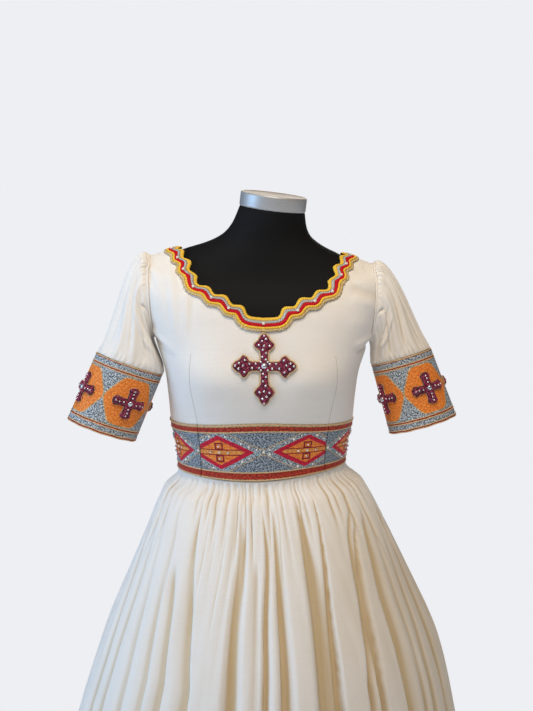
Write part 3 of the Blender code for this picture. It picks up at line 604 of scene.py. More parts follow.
class Finish:
    """A material in the making."""

    def __init__(self, name, **constants):
        self.material = bpy.data.materials.new(name)
        self.material.use_nodes = True
        self.tree = self.material.node_tree
        self.shader = self.tree.nodes["Principled BSDF"]
        for socket, value in constants.items():
            self.shader.inputs[socket.replace("_", " ")].default_value = value

    def node(self, kind, settings, *values, output=0, **named):
        """Adds a node: its type, its settings, then the values or links of its sockets in order or by name."""
        made = self.tree.nodes.new(kind)
        for key, value in settings.items():
            if key == "stops":
                for _ in range(len(value) - 2):
                    made.color_ramp.elements.new(0.5)
                for element, (place, colour) in zip(made.color_ramp.elements, value):
                    element.position, element.color = place, (*colour, 1)
            else:
                setattr(made, key, value)
        sockets = list(enumerate(values)) + [(key.replace("_", " "), value) for key, value in named.items()]
        for key, value in sockets:
            if isinstance(value, Shade):
                self.tree.links.new(value.socket, made.inputs[key])
            elif value is not None:
                made.inputs[key].default_value = value
        return Shade(self, made.outputs[output])

    def maths(self, operation, *values):
        return self.node("ShaderNodeMath", {"operation": operation}, *values)

    def place(self):
        """The two coordinates of the flat cloth, in metres."""
        flat = self.node("ShaderNodeUVMap", {"uv_map": "cloth"})
        self.u = self.node("ShaderNodeSeparateXYZ", {}, flat)
        self.v = Shade(self, self.u.socket.node.outputs[1])
        return self.u, self.v

    def vector(self, x, y, z=0.0):
        return self.node("ShaderNodeCombineXYZ", {}, x, y, z)

    def noise(self, vector, scale, detail=2.0, roughness=0.5):
        sockets = {"Vector": vector, "Scale": scale, "Detail": detail, "Roughness": roughness}
        return self.node("ShaderNodeTexNoise", {}, **sockets)

    def grain(self, across, along, detail=2.0):
        """Noise on the flat cloth, with so many grains a metre across it and along it."""
        return self.noise(self.vector(self.u * across, self.v * along), 1.0, detail)

    def value_of(self, name):
        """A number stored on the mesh."""
        return self.node("ShaderNodeAttribute", {"attribute_name": name}, output=2)

    def blend(self, share, first, second, way="MIX"):
        """Two colours mixed. A colour is three numbers or a link."""
        first, second = [(*c, 1) if isinstance(c, tuple) else c for c in (first, second)]
        settings = {"data_type": "RGBA", "blend_type": way}
        unused = [None] * 5
        return self.node("ShaderNodeMix", settings, share, *unused, first, second, output=2)

    def between(self, share, name):
        """A colour's dark and light shades mixed: 1 is the light one."""
        light, dark = shades(name)
        return self.blend(share, dark, light)

    def scaled(self, colour, share):
        """A colour made lighter or darker by a number."""
        return self.blend(1.0, colour, self.vector(share, share, share), "MULTIPLY")

    def done(self, colour=None, height=None, depth=0.001, **links):
        """Joins the colour, the relief in metres and any other links to the shader."""
        if colour is not None:
            links["Base_Color"] = colour
        if height is not None:
            links["Normal"] = self.node("ShaderNodeBump", {}, Height=height, Distance=depth, Strength=1.0)
        for socket, value in links.items():
            self.tree.links.new(value.socket, self.shader.inputs[socket.replace("_", " ")])
        return self.material


def paint(code):
    """A colour from its usual six-figure code."""
    parts = [int(code[k : k + 2], 16) / 255 for k in (0, 2, 4)]
    return tuple(p / 12.92 if p <= 0.04045 else ((p + 0.055) / 1.055) ** 2.4 for p in parts)


# What each colour is for, and its light and its dark shade.
COLOURS = {
    # The cotton's dark shade is its painted shade, for its hollows and its shaded sides.
    "cotton": ("White cotton, and its hollows", "EEEAE4", "C0A164"),
    "field": ("Ground of the waistband and the cuffs", "CFDAE2", "39424F"),
    "triangle": ("Triangles between the diamonds", "AEBCC9", "2F3947"),
    "crimson": ("Edge of the diamonds", "E6123F", "A50C2C"),
    "orange": ("Diamonds and roundels", "FB9A42", "DC7026"),
    "centre": ("Middle of the diamonds", "F5AC58", "D07A30"),
    "bar": ("Bars in the diamonds", "8C1F1C", "A50C2C"),
    "box": ("Boxes in the diamonds", "A50C2C", "6E0A1E"),
    "stripe": ("Red stripes of the waistband and the cuffs", "D24329", "781A10"),
    "gold": ("Gold lines of the waistband and the cuffs", "E6CFA0", "A67C4A"),
    "yellow": ("Yellow cords of the neck trim", "FFDD58", "E2A622"),
    "red_braid": ("Red braid of the neck trim", "DE0020", "A60016"),
    "silver_braid": ("Silver strip of the neck trim", "D6D6D4", "9A9894"),
    "lace": ("Lace edge of the neck trim", "FFEAB6", "C79C58"),
    "gold_thread": ("Gold cords sewn along edges", "F8E2BA", "C89C66"),
    "cotton_thread": ("Stitches of the darts", "DDD8CE", "C6C0B6"),
    "bead_pad": ("Cloth under the crosses' beads", "5A1A28", "4A1420"),
    "crimson_bead": ("Beads of the crosses", "C23E68", "560D28"),
    "silver_bead": ("Silver beads", "F2F2F2", "C9CBD0"),
    "turquoise_bead": ("Turquoise beads", "9CC6CE", "6FA7B4"),
    "pearl_bead": ("Pearls", "F4EEE2", "E4DCCB"),
    "clear_stone": ("Cut stones", "DCE0E8", "B9BCC6"),
    "knit_cover": ("Knit over the form", "0E0F11", "060607"),
    "cap_rim": ("Rim of the cap", "C2C4C6", "A8AAAD"),
    "cap_top": ("Top of the cap", "A39A92", "8F8780"),
    "steel": ("Pole of the stand", "C6C8CA", "A9ABAE"),
    "iron": ("Base of the stand", "2D2D2E", "1B1B1C"),
    "floor": ("Floor of the studio", "DEDFE3", "DADBDF"),
}


def shades(name):
    """The light and the dark shade of a colour, as the user has set them."""
    colours = bpy.context.scene.kemis_colours
    return [tuple(getattr(colours, f"{name}_{shade}")) for shade in ("light", "dark")]


# ---- finishes


def cotton_finish():
    """Thin handwoven white cotton. Its hollows, and its sides turned from the window light, are painted darker
    and warmer: painted shade, with warm light seen through the thin layers.
    """
    finish = Finish("handwoven_cotton", Roughness=0.88, Sheen_Weight=0.15, Sheen_Roughness=0.5)
    finish.place()
    weft = finish.grain(110, 1150)
    warp = finish.grain(1150, 110)
    slub = finish.grain(16, 420, 3.0)
    cloudy = finish.grain(9, 9)
    weave = (weft + warp) * 0.5
    hollow = finish.value_of("hollow")
    # Painted shade: the cloth turns towards its dark, warm shade as much as each piece paints it.
    colour = finish.blend(hollow * 0.75 + (cloudy - 0.5) * 0.25, *shades("cotton"))
    colour = finish.scaled(colour, weave * 0.14 + slub * 0.06 + 0.90)
    return finish.done(colour, weave + slub * 0.5, 0.0004)


class Chart(Finish):
    """An embroidered cloth: a colour and a relief that later stitches are laid over."""

    def __init__(self, name):
        super().__init__(name, Roughness=0.62, Specular_IOR_Level=0.35)
        u, v = self.place()
        wander = (self.grain(260, 260) - 0.5) * 0.0014
        self.u, self.v = u + wander, v + wander
        self.colour, self.relief = None, None

    def lay(self, mask, thread, height, lean=0.0):
        """Lays close stitches of a thread where mask is 1. height is in millimetres, and lean turns them."""
        u, v = self.u, self.v
        lit = self.noise(self.vector(u * 360 + v * lean, v * 280 - u * lean), 1.0, 3.0, 0.72).over(0.5, 0.10)
        colour = self.between(lit, thread)
        relief = lit * 0.35 + height
        if mask is None:
            self.colour, self.relief = colour, relief
        else:
            self.colour = self.blend(mask, self.colour, colour)
            self.relief = self.relief + mask * (relief - self.relief)

    def striped(self, stripes):
        """Stripes along the cloth. Each is where it starts and ends, and its thread."""
        for low, high, thread in stripes:
            self.lay(self.v.within(low, high), thread, 0.5)

    def sewn(self):
        return self.done(self.colour, self.relief, 0.0006)


def waistband_finish():
    """Diamonds in crimson and orange on blue-grey, joined by crossing gold lines, between red stripes."""
    chart = Chart("waistband_embroidery")
    half = BAND_REPEAT / 2
    across = abs((chart.u - half).wrapped(half, -half))
    up = abs(chart.v - BAND_MIDDLE)
    gap = half - across
    chart.lay(None, "field", 0.0, 300.0)
    line = (up - 0.0052 - ((gap - 0.003) | 0.0) * DIAMOND_SLOPE) * math.cos(math.atan(DIAMOND_SLOPE))
    chart.lay(line.over(0.0), "triangle", 0.0, -260.0)
    chart.lay(abs(line).under(0.0007), "gold", 0.7)
    a, b = DIAMOND
    inside = (across * b + up * a - a * b) * (1 / math.hypot(a, b))
    chart.lay(inside.under(0.0004), "crimson", 0.6, 200.0)
    chart.lay(inside.under(-0.0068), "orange", 0.45)
    chart.lay(inside.under(-0.0068) & up.under(0.0040), "centre", 0.5)
    chart.lay(abs(up - 0.0044).under(0.0010) & inside.under(-0.0050), "bar", 0.6)
    box = (across - 0.0058) | (abs(up - 0.0108) - 0.0050)
    chart.lay(abs(box).under(0.0014) & inside.under(-0.003), "box", 0.7)
    chart.striped(BAND_STRIPES)
    return chart.sewn()


def cuff_finish():
    """Orange roundels outlined in gold on blue-grey, between narrow red and gold stripes."""
    chart = Chart("cuff_embroidery")
    half = CUFF_REPEAT / 2
    across = abs((chart.u - half).wrapped(half, -half))
    up = abs(chart.v - CUFF_MIDDLE)
    chart.lay(None, "field", 0.0, 300.0)
    wide, tall = ROUNDEL
    slope = np.array([0.92 * tall, 0.5 * wide])
    slope = slope / np.linalg.norm(slope)
    side = (across - wide) * float(slope[0]) + (up - 0.08 * tall) * float(slope[1])
    capped_side = chart.maths("SMOOTH_MAX", side, up - tall, 0.012)
    ring = chart.maths("SMOOTH_MAX", capped_side, across - wide, 0.006)
    chart.lay(ring.under(0.0008), "gold", 0.7)
    chart.lay(ring.under(-0.0008), "orange", 0.45)
    chart.striped(CUFF_STRIPES)
    return chart.sewn()


def trim_finish():
    """Cords and braid along the neck: yellow, silver, red, yellow and a gold lace edge."""
    finish = Finish("braided_trim", Roughness=0.6, Specular_IOR_Level=0.2)
    u, v = finish.place()
    twist = ((u * 2100 + v * 900).sine() + 1.0) * 0.5
    fibre = finish.grain(1500, 900)
    lace = finish.grain(1100, 1100).over(0.5, 0.16)
    lit = (twist * 0.5 + fibre * 0.7).over(0.6, 0.7)
    colour = finish.between(lit, "yellow")
    for low, high, braid in TRIM_STRIPES:
        laid = finish.between(lit, braid)
        colour = finish.blend(v.within(low, high, 0.0002), colour, laid)
    laced = v.over(LACE_FROM, 0.0002)
    colour = finish.blend(laced, colour, finish.between(lace, "lace"))
    return finish.done(colour, lit + lace * laced, 0.0005)


def tinted_finish(name, **constants):
    """Small things of one kind that vary a little between two shades."""
    finish = Finish(name, **constants)
    return finish.done(finish.between(finish.value_of("tint"), name))


def thread_finish():
    """Gold thread, twisted, with painted light on the ridges of its twist and painted shade in its grooves."""
    finish = Finish("gold_thread", Roughness=0.45, Metallic=0.1)
    u, v = finish.place()
    twist = ((u * 3400 + v * 1500).sine() + 1.0) * 0.5
    return finish.done(finish.between(twist, "gold_thread"), twist, 0.0004)


def cover_finish():
    """The black knit that covers the form."""
    finish = Finish("knit_cover", Roughness=0.75, Specular_IOR_Level=0.2)
    finish.place()
    knit = finish.grain(900, 900)
    cloudy = finish.grain(14, 14, 3.0)
    colour = finish.between(knit * 0.5 + cloudy * 0.5, "knit_cover")
    return finish.done(colour, knit, 0.0003)


def cap_finish():
    """A satin grey rim round a tan top."""
    finish = Finish("satin_cap", Roughness=0.45)
    v = finish.place()[1]
    top = v.over(CAP_HEIGHT, 0.0004)
    streak = finish.grain(40, 900, 3.0)
    speck = finish.grain(500, 500, 3.0)
    rim = finish.between(streak, "cap_rim")
    colour = finish.blend(top, rim, finish.between(speck, "cap_top"))
    return finish.done(colour, streak * (1 - top) + speck * top, 0.0002, Metallic=(1 - top) * 0.5)


def steel_finish():
    finish = Finish("brushed_steel", Metallic=1.0)
    finish.place()
    brushed = finish.grain(90, 2200, 3.0)
    colour = finish.between(brushed, "steel")
    return finish.done(colour, brushed, 0.0001, Roughness=brushed * 0.25 + 0.18)


def iron_finish():
    finish = Finish("painted_iron", Specular_IOR_Level=0.4)
    finish.place()
    grit = finish.grain(1400, 1400)
    worn = finish.grain(22, 22, 3.0)
    colour = finish.between(worn, "iron")
    return finish.done(colour, grit, 0.0003, Roughness=worn * 0.2 + 0.42)


def floor_finish(background):
    """Pale floor that fades into the pale surroundings."""
    finish = Finish("studio_floor", Roughness=0.9, Specular_IOR_Level=0.1)
    place = finish.node("ShaderNodeNewGeometry", {})
    away = finish.node("ShaderNodeVectorMath", {"operation": "LENGTH"}, place, output=1)
    grain = finish.noise(place, 60.0, 2.0)
    finish.done(finish.between(grain, "floor"))
    glow = finish.node("ShaderNodeEmission", {}, Color=(*background, 1.0), Strength=1.0)
    far = away.over(0.75, 0.7)
    mixed = finish.node("ShaderNodeMixShader", {}, far, Shade(finish, finish.shader.outputs[0]), glow)
    output = finish.tree.nodes["Material Output"]
    finish.tree.links.new(mixed.socket, output.inputs["Surface"])
    return finish.material


# ---- charts of the embroidery, in metres

BAND_REPEAT = 0.139
BAND_CUT_HEIGHT = 0.098
BAND_MIDDLE = 0.0485
DIAMOND = (0.0565, 0.0300)
DIAMOND_SLOPE = DIAMOND[1] / DIAMOND[0]
BAND_STRIPES = (
    (-0.01, 0.0042, "gold"),
    (0.0042, 0.0125, "stripe"),
    (0.0125, 0.0150, "gold"),
    (0.0820, 0.0845, "gold"),
    (0.0845, 0.0950, "stripe"),
    (0.0950, 0.11, "gold"),
)
BAND_THREADS = (0.0012, 0.0138, 0.0832, 0.0968)

CUFF_REPEAT = 0.0825
CUFF_MIDDLE = 0.0588
ROUNDEL = (0.0411, 0.0402)
CUFF_STRIPES = (
    (-0.01, 0.0012, "gold"),
    (0.0012, 0.0028, "stripe"),
    (0.0108, 0.0122, "gold"),
    (0.0122, 0.0142, "stripe"),
    (0.0142, 0.0156, "gold"),
    (0.1020, 0.1034, "gold"),
    (0.1034, 0.1054, "stripe"),
    (0.1054, 0.1068, "gold"),
    (0.1150, 0.1164, "gold"),
    (0.1164, 0.1184, "stripe"),
    (0.1184, 0.1300, "gold"),
)
CUFF_THREADS = (0.0010, 0.0112, 0.0152, 0.1024, 0.1064, 0.1154, 0.1190)

LACE_FROM = 0.0176
TRIM_STRIPES = ((0.0043, 0.0101, "silver_braid"), (0.0101, 0.0154, "red_braid"))
# The cords of the trim: middle, half width and height of each.
TRIM_CORDS = (
    (0.0022, 0.0022, 0.0016), (0.0071, 0.0024, 0.0012), (0.0125, 0.0027, 0.0011), (0.0165, 0.0011, 0.0012),
)
# Lines of the trim's mesh, out from its inner edge, and closest over the sides of the cords.
TRIM_LINES = (
    0.0, 0.0005, 0.0013, 0.0022, 0.0031, 0.0039, 0.0044, 0.0048, 0.0071, 0.0094, 0.0098, 0.0103, 0.0113,
    0.0125, 0.0137, 0.0146, 0.0152, 0.0155, 0.0159, 0.0165, 0.0171, 0.0175, 0.0179, 0.0192, 0.0206, 0.0218,
)
LACE_RISE = 0.0004
PICOT, PICOT_PITCH = 0.0016, 0.0044
SEQUIN_LINE, SEQUIN_LIFT, SEQUIN_PITCH = 0.0071, 0.0024, 0.0022
PEARL_LINE, PEARL_LIFT = 0.0092, 0.0032

# Creases in the bodice, seen from the front: where each starts and ends, its half width and how far it
# stands out.
FRONT_CREASES = Table(
    "x0 z0 x1 z1 width rise",
    (-0.148, 1.372, -0.136, 1.262, 0.0065, 0.0016),
    (-0.153, 1.35, -0.1465, 1.276, 0.007, -0.0013),
    (-0.122, 1.336, -0.121, 1.27, 0.006, 0.001),
    (-0.111, 1.334, -0.1114, 1.272, 0.006, -0.0011),
    (-0.172, 1.28, -0.1376, 1.247, 0.0042, 0.003),
    (-0.169, 1.268, -0.14, 1.238, 0.004, -0.0028),
    (-0.18, 1.372, -0.17, 1.342, 0.004, -0.0016),
    (0.146, 1.347, 0.186, 1.332, 0.007, -0.0026),
    (0.15, 1.357, 0.178, 1.35, 0.0055, 0.0012),
    (0.146, 1.33, 0.175, 1.318, 0.006, 0.0016),
    (0.142, 1.297, 0.164, 1.29, 0.007, 0.001),
    (0.1482, 1.258, 0.181, 1.273, 0.0052, 0.003),
    (0.15, 1.246, 0.183, 1.259, 0.0045, -0.0026),
    (0.15, 1.373, 0.158, 1.366, 0.0055, -0.0009),
    (0.166, 1.377, 0.172, 1.368, 0.005, -0.0009),
    (0.06, 1.19, 0.098, 1.176, 0.012, -0.0008),
    (-0.056, 1.186, -0.09, 1.174, 0.012, -0.0008),
)
BACK_CREASES = Table(
    "x0 z0 x1 z1 width rise",
    (-0.156, 1.338, -0.15, 1.228, 0.0085, 0.0014),
    (-0.136, 1.325, -0.134, 1.24, 0.0085, -0.0011),
    (0.154, 1.335, 0.149, 1.232, 0.0085, 0.0013),
    (0.134, 1.322, 0.133, 1.246, 0.0085, -0.0011),
    (-0.166, 1.256, -0.13, 1.216, 0.0028, 0.0016),
    (0.166, 1.254, 0.128, 1.218, 0.003, 0.0015),
    (0.163, 1.242, 0.131, 1.21, 0.0028, -0.0013),
    (-0.01, 1.2, -0.07, 1.19, 0.01, -0.0009),
    (0.01, 1.172, 0.075, 1.164, 0.01, -0.0009),
)
DART_THREAD = 0.0006
# The sewn line of each dart, up from the waistband: its level and its angle from the front.
DART_LINE = Table("level angle", (1.132, 51.4), (1.170, 48.8), (1.215, 47.3), (1.246, 47.4))


# ---- the form and its stand


def closed_rings(rings):
    """The grid through closed rings of points, with its two ends filled."""
    low, high = (0 * ring + ring[:, :-1].mean(axis=1, keepdims=True) for ring in (rings[:1], rings[-1:]))
    points = np.concatenate([low, rings, high])
    return points, np.stack([arc(points, 1), arc(points, 0)], axis=-1)


def sew_torso(finish):
    shoulders = np.linspace(1.3625, NECK_TOP, 44)
    levels = np.concatenate([[TORSO_BOTTOM, TORSO_BOTTOM + 0.001], np.linspace(0.80, 1.36, 58), shoulders])
    rings = settled(bare_body(levels[:, None], np.linspace(0, TURN, 97)[None, :]))
    rings[:, -1] = rings[:, 0]
    middle = rings[0, :-1].mean(axis=0)
    rings[0] = middle + (rings[0] - middle) * 0.985
    mesh = joined_mesh("form_torso_cover", [closed_rings(rings)], (0, 0, 1.2))
    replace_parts(show("form_torso_cover", mesh, finish), "form_torso")


def sew_cap(finish):
    """The cap: a rounded rim and a top that is let in a little below it."""
    ring = bare_body(NECK_TOP, np.linspace(0, TURN, 97))
    ring[-1] = ring[0]
    middle = ring[:-1].mean(axis=0)
    lean = unit(np.array([math.tan(NECK_TIP_SIDE) + SLANT, -math.tan(NECK_TIP_FORWARD), 1.0]))
    top = CAP_HEIGHT
    steps = [
        (SEAM_GAP, 0.985), (SEAM_GAP + 0.0004, 1.005), (0.0020, 1.018), (0.0040, 1.022), (0.012, 1.022),
        (top - 0.0040, 1.022), (top - 0.0016, 1.016), (top - 0.0004, 1.003), (top, 0.985),
        (top - 0.0001, 0.968), (top - 0.0006, 0.962), (top - 0.0008, 0.95),
    ]
    rings = settled(np.stack([middle + (ring - middle) * size + lean * rise for rise, size in steps]))
    points, flat = closed_rings(rings)
    flat[..., 1] = np.array([0.0] + [rise for rise, _ in steps[:8]] + [CAP_HEIGHT + 0.01] * 5)[:, None]
    mesh = joined_mesh("form_cap", [(points, flat)], middle)
    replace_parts(show("form_cap", mesh, finish), "form_neck_cap")


def round_rings(profile, sides):
    """Closed rings of points round the Z axis, one for each (radius, height)."""
    turn = np.linspace(0, TURN, sides + 1)
    turn[-1] = 0
    return np.stack([np.stack([r * np.cos(turn), r * np.sin(turn), z + 0 * turn], axis=-1) for r, z in profile])


def turned_piece(name, profile, sides, finish):
    """A round piece from the (radius, height) points of its side, bottom to top."""
    rings = round_rings(profile, sides)
    low, high = profile[0][1], profile[-1][1]
    return show(name, joined_mesh(name, [closed_rings(rings)], (0, 0, (low + high) / 2)), finish)


def rounded(corners, edge):
    """The (radius, height) points of a turned side whose corners are softened by edge."""
    made = [corners[0]]
    for before, corner, after in zip(corners, corners[1:], corners[2:]):
        before, corner, after = np.array([before, corner, after])
        near, far = unit(before - corner), unit(after - corner)
        reach = min(edge, np.linalg.norm(before - corner) / 2.2, np.linalg.norm(after - corner) / 2.2)
        for t in (0.0, 0.33, 0.67, 1.0):
            made.append(tuple(corner + near * reach * (1 - t) ** 2 + far * reach * t**2))
    return made + [corners[-1]]


def build_stand(steel, iron):
    top, foot = TORSO_BOTTOM - SEAM_GAP, BOSS_TOP + SEAM_GAP
    collar, flange = POLE_RADIUS * 1.6, 0.006
    side = [
        (0.004, foot), (POLE_RADIUS, foot), (POLE_RADIUS, top - 0.040), (collar, top - 0.040),
        (collar, top - flange), (FLANGE_RADIUS, top - flange), (FLANGE_RADIUS, top), (0.004, top),
    ]
    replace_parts(turned_piece("stand_pole", rounded(side, 0.0012), 48, steel), "form_pole")
    side = [
        (0.004, 0.0), (BASE_RADIUS, 0.0), (BASE_RADIUS, BASE_THICK), (BOSS_RADIUS + 0.006, BASE_THICK),
        (BOSS_RADIUS, BASE_THICK + 0.006), (BOSS_RADIUS, BOSS_TOP), (0.004, BOSS_TOP),
    ]
    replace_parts(turned_piece("stand_base", rounded(side, 0.003), 96, iron), "form_base")


# ---- the bodice


def patch(bottom, top, left, right):
    """A grid of points between four edges that meet at their ends. Rows run from bottom to top."""
    across = np.linspace(0, 1, len(bottom))[None, :, None]
    up = np.linspace(0, 1, len(left))[:, None, None]
    sides = left[:, None] * (1 - across) + right[:, None] * across
    ends = bottom[None] * (1 - up) + top[None] * up
    low = bottom[0] * (1 - across) + bottom[-1] * across
    high = top[0] * (1 - across) + top[-1] * across
    return sides + ends - low * (1 - up) - high * up


def spaced(level, angle, count):
    """count points evenly along a curve of the form."""
    length = arc(bare_body(level, angle))
    wanted = np.linspace(0, length[-1], count)
    return bare_body(np.interp(wanted, length, level), np.interp(wanted, length, angle))


def half_bodice(back, columns, side_rows, armhole_rows, centre_rows):
    """Level and angle of the left half of the front or of the back, from the waistband to the shoulder seam.

    Its rows run from the side seam and the armhole to the centre and the neck."""
    sign = 1 if back else -1
    seam = sign * SEAM_GAP * 0.6
    centre_angle = sign * HALF_TURN / 2
    neck_level, neck_angle, _ = neck_curve()
    neck_level, neck_angle = beside(neck_level, neck_angle, -EDGE_UNDER_TRIM)
    neck_angle[0], neck_angle[-1] = FRONT, HALF_TURN / 2
    kept = neck_angle * sign > 0
    neck_level, neck_angle = neck_level[kept], neck_angle[kept]
    if not back:
        neck_level, neck_angle = neck_level[::-1], neck_angle[::-1]
    arm_level, arm_angle = armhole(np.linspace(HALF_TURN, 0, 161) * sign)
    under, tip, neck_side = arm_level[0], arm_level[-1], neck_level[0]
    fine = np.linspace(0, 1, 81)
    low = band_top(centre_angle * fine) + SEAM_GAP
    bottom = spaced(low, centre_angle * fine, columns + 1)
    top = spaced(tip + (neck_side - tip) * fine, 0 * fine, columns + 1)
    side = spaced(low[0] + (under - low[0]) * fine, 0 * fine, side_rows + 1)
    hole = spaced(arm_level, arm_angle, armhole_rows + 1)
    centre = spaced(low[-1] + (neck_level[-1] - low[-1]) * fine, centre_angle + 0 * fine, centre_rows + 1)
    neck = spaced(neck_level, neck_angle, side_rows + armhole_rows - centre_rows + 1)[::-1]
    left = np.concatenate([side, hole[1:]])
    right = np.concatenate([centre, neck[1:]])
    top[0], top[-1] = left[-1], right[-1]
    level, angle = nearest(patch(bottom, top, left, right))
    limit = np.abs(seam / form_radius(level, angle))
    if back:
        return level, np.clip(angle, limit, HALF_TURN / 2 - limit)
    angle = np.minimum(angle, -limit)
    angle[: centre_rows + 1, -1] = FRONT
    return level, angle


def creased(points, creases):
    """How far creases lift points, seen along Y."""
    lift = np.zeros(points.shape[:-1])
    for x0, z0, x1, z1, width, rise in creases.rows:
        way = np.array([x1 - x0, z1 - z0])
        reach = np.linalg.norm(way)
        rel = points[..., [0, 2]] - np.array([x0, z0])
        along = (rel @ way) / reach**2
        off = np.linalg.norm(rel - np.clip(along, 0, 1)[..., None] * way, axis=-1)
        fade = smooth(along, -0.25, 0.15) * (1 - smooth(along, 0.55, 1.2))
        lift += rise * np.exp(-((off / width) ** 2)) * fade
    return lift


def bodice_grid(level, angle, mirrored, creases):
    """The (points, flat, painted shade) grid of half of a bodice, with its creases."""
    points = settled(bare_body(level, angle) * (MIRROR if mirrored else 1.0))
    lift = creased(points, creases) - 0.0002
    still = smooth(level - band_top(angle), 0.0, 0.012)
    lift = lift * still
    placed = settled(body(level, angle, EASE + lift) * (MIRROR if mirrored else 1.0))
    across = arc(placed[:, ::-1], 1)[:, ::-1] * (-1.0 if mirrored else 1.0)
    flat = np.stack([across, arc(placed, 0)], axis=-1)
    # Painted shade in the creases that sink in, stronger towards the wearer's left, away from the window light.
    hollow = (0.06 + 0.16 * smooth(placed[..., 0], -0.05, 0.12)) * smooth(-lift, 0.0, 0.0022)
    if mirrored:
        placed, flat, hollow = placed[:, ::-1], flat[:, ::-1], hollow[:, ::-1]
    return placed, flat, hollow


def flat_area(grids):
    """Area of the surfaces through grids of points, in square metres."""
    total = 0.0
    for points, *_ in grids:
        first = points[1:, 1:] - points[:-1, :-1]
        second = points[1:, :-1] - points[:-1, 1:]
        total += 0.5 * np.linalg.norm(np.cross(first, second), axis=-1).sum()
    return round(float(total), 4)


def sew_bodice(finish):
    half = half_bodice(False, 58, 44, 80, 60)
    halves = [bodice_grid(*half, mirrored, FRONT_CREASES) for mirrored in (False, True)]
    front = shell("bodice_front_cloth", halves, COTTON, finish, CHEST)
    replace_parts(front, "bodice_front")
    flat_area(halves)
    half = half_bodice(True, 44, 36, 70, 66)
    for name, mirrored in (("bodice_back_left", False), ("bodice_back_right", True)):
        grid = bodice_grid(*half, mirrored, BACK_CREASES)
        back = shell(f"{name}_cloth", [grid], COTTON, finish, CHEST)
        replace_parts(back, name)
        flat_area([grid])


def sew_darts(cotton_thread):
    """The fine line of stitches along each dart."""
    level = np.linspace(DART_LINE.rows[0][0], DART_LINE.rows[-1][0], 40)
    turn = np.radians(DART_LINE.at("angle", level))
    lines = []
    for angle in (FRONT + turn, FRONT - turn):
        points = settled(body(level, angle, EASE + COTTON - 0.0002))
        lines.append(thread(points, unit(points * np.array([1, 1, 0])), DART_THREAD, flat=0.5))
    threads("bodice_dart_lines", lines, cotton_thread)


# ---- the neck trim


class NeckTrim:
    """The scalloped trim. along is the length from the centre front, negative on the wearer's right, and
    across the length out from the inner edge."""

    def __init__(self):
        self.level, self.angle, self.length = neck_curve()
        self.end = self.length[-1] - SEAM_GAP
        self.full = EASE + COTTON + OVERLAY_GAP

    def line(self, along, across, lift=0.0):
        """Points of the trim's inner face along one line, raised by lift, and the outward normals."""
        far = np.abs(along)
        edge = beside(self.level, self.angle, -across) if across else (self.level, self.angle)
        level, angle = [np.interp(far, self.length, values) for values in edge]
        normal = body_directions(level, angle)[2]
        nudge = 0.0006
        ahead = [np.interp(far + nudge, self.length, values) for values in edge]
        behind = [np.interp(far - nudge, self.length, values) for values in edge]
        inward = unit(np.cross(normal, bare_body(*ahead) - bare_body(*behind)))
        phase = np.maximum(far - FIRST_SCALLOP, -SCALLOP_LENGTH / 2)
        swing = SCALLOP * np.cos(TURN * phase / SCALLOP_LENGTH) * (1 - (1 - OUTER_SWING) * across / TRIM_WIDTH)
        share = min(across / TRIM_WIDTH / TRIM_FLAT, 1.0)
        rise = TRIM_EDGE_EASE + (self.full - TRIM_EDGE_EASE) * share + lift
        points = bare_body(level, angle) + inward * swing[:, None] + normal * rise
        side = np.where(np.asarray(along)[:, None] < 0, MIRROR, 1.0)
        points[:, 0] = np.where(far < 1e-9, 0.0, points[:, 0])
        return settled(points * side), normal * side


def sew_neck_trim(finish):
    trim = NeckTrim()
    half = np.arange(0, trim.end - 0.0004, SCALLOP_LENGTH / 30)
    along = np.concatenate([[-trim.end], -half[:0:-1], half, [trim.end]])
    rows = []
    for v in TRIM_LINES:
        rises = [high * math.sqrt(max(1 - ((v - middle) / wide) ** 2, 0)) for middle, wide, high in TRIM_CORDS]
        points, _ = trim.line(along, v, max(rises) + (LACE_RISE if v > 0.0170 else 0.0))
        if v == TRIM_LINES[-1]:
            picots = PICOT * np.abs(np.sin(HALF_TURN * along / PICOT_PITCH))
            points = points + unit(points - rows[-1]) * picots[:, None]
        points[0, 0], points[-1, 0] = -SEAM_GAP, SEAM_GAP
        rows.append(points)
    grid = (np.array(rows), flat_grid(along[None, :], np.array(TRIM_LINES)[:, None]))
    braid = shell("neck_trim_braid", [grid], 0.0016, finish, (0, 0, 1.30))
    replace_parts(braid, "neck_trim")


def sew_trim_beads(pearl_size, silver, pearl):
    trim = NeckTrim()
    half = np.arange(0.0012, trim.end - 0.002, SEQUIN_PITCH)
    along = np.concatenate([-half[::-1], half])
    places, normals = trim.line(along, SEQUIN_LINE, SEQUIN_LIFT)
    copies("neck_sequins", sequin(), places, normals, (0.0017, 0.0009), silver, 3)
    count = int((trim.end - FIRST_SCALLOP) / SCALLOP_LENGTH) + 1
    half = FIRST_SCALLOP + SCALLOP_LENGTH * (np.arange(count) + 0.5)
    along = np.concatenate([[0.0], half, -half])
    places, normals = trim.line(along, PEARL_LINE, PEARL_LIFT)
    size = (pearl_size, pearl_size - 0.0004)
    copies("neck_pearls", ball(5, 10), places, normals, size, pearl, 4)


# ---- the crosses


def cross_arms(arm, stretch, steps, sides):
    """The flat places along and across each arm of a cross. stretch is how much longer the lower arm is."""
    along = np.linspace(arm.rows[0, 0], arm.rows[-1, 0], steps)
    half = arm.at("half", along)
    half[0] = along[0]
    across = half[:, None] * sides
    for cosine, sine, longer in ((1, 0, 1), (0, 1, 1), (-1, 0, 1), (0, -1, stretch)):
        out = (along[0] + (along - along[0]) * longer)[:, None] + 0 * across
        yield np.stack([out * cosine - across * sine, out * sine + across * cosine], axis=-1)


def cross_outline(arm, stretch):
    """The outline of a cross on the flat cloth, anticlockwise."""
    arms = cross_arms(arm, stretch, 14, np.array([-1.0, 1.0]))
    return np.concatenate([side for flat in arms for side in (flat[:, 0], flat[:0:-1, 1])])


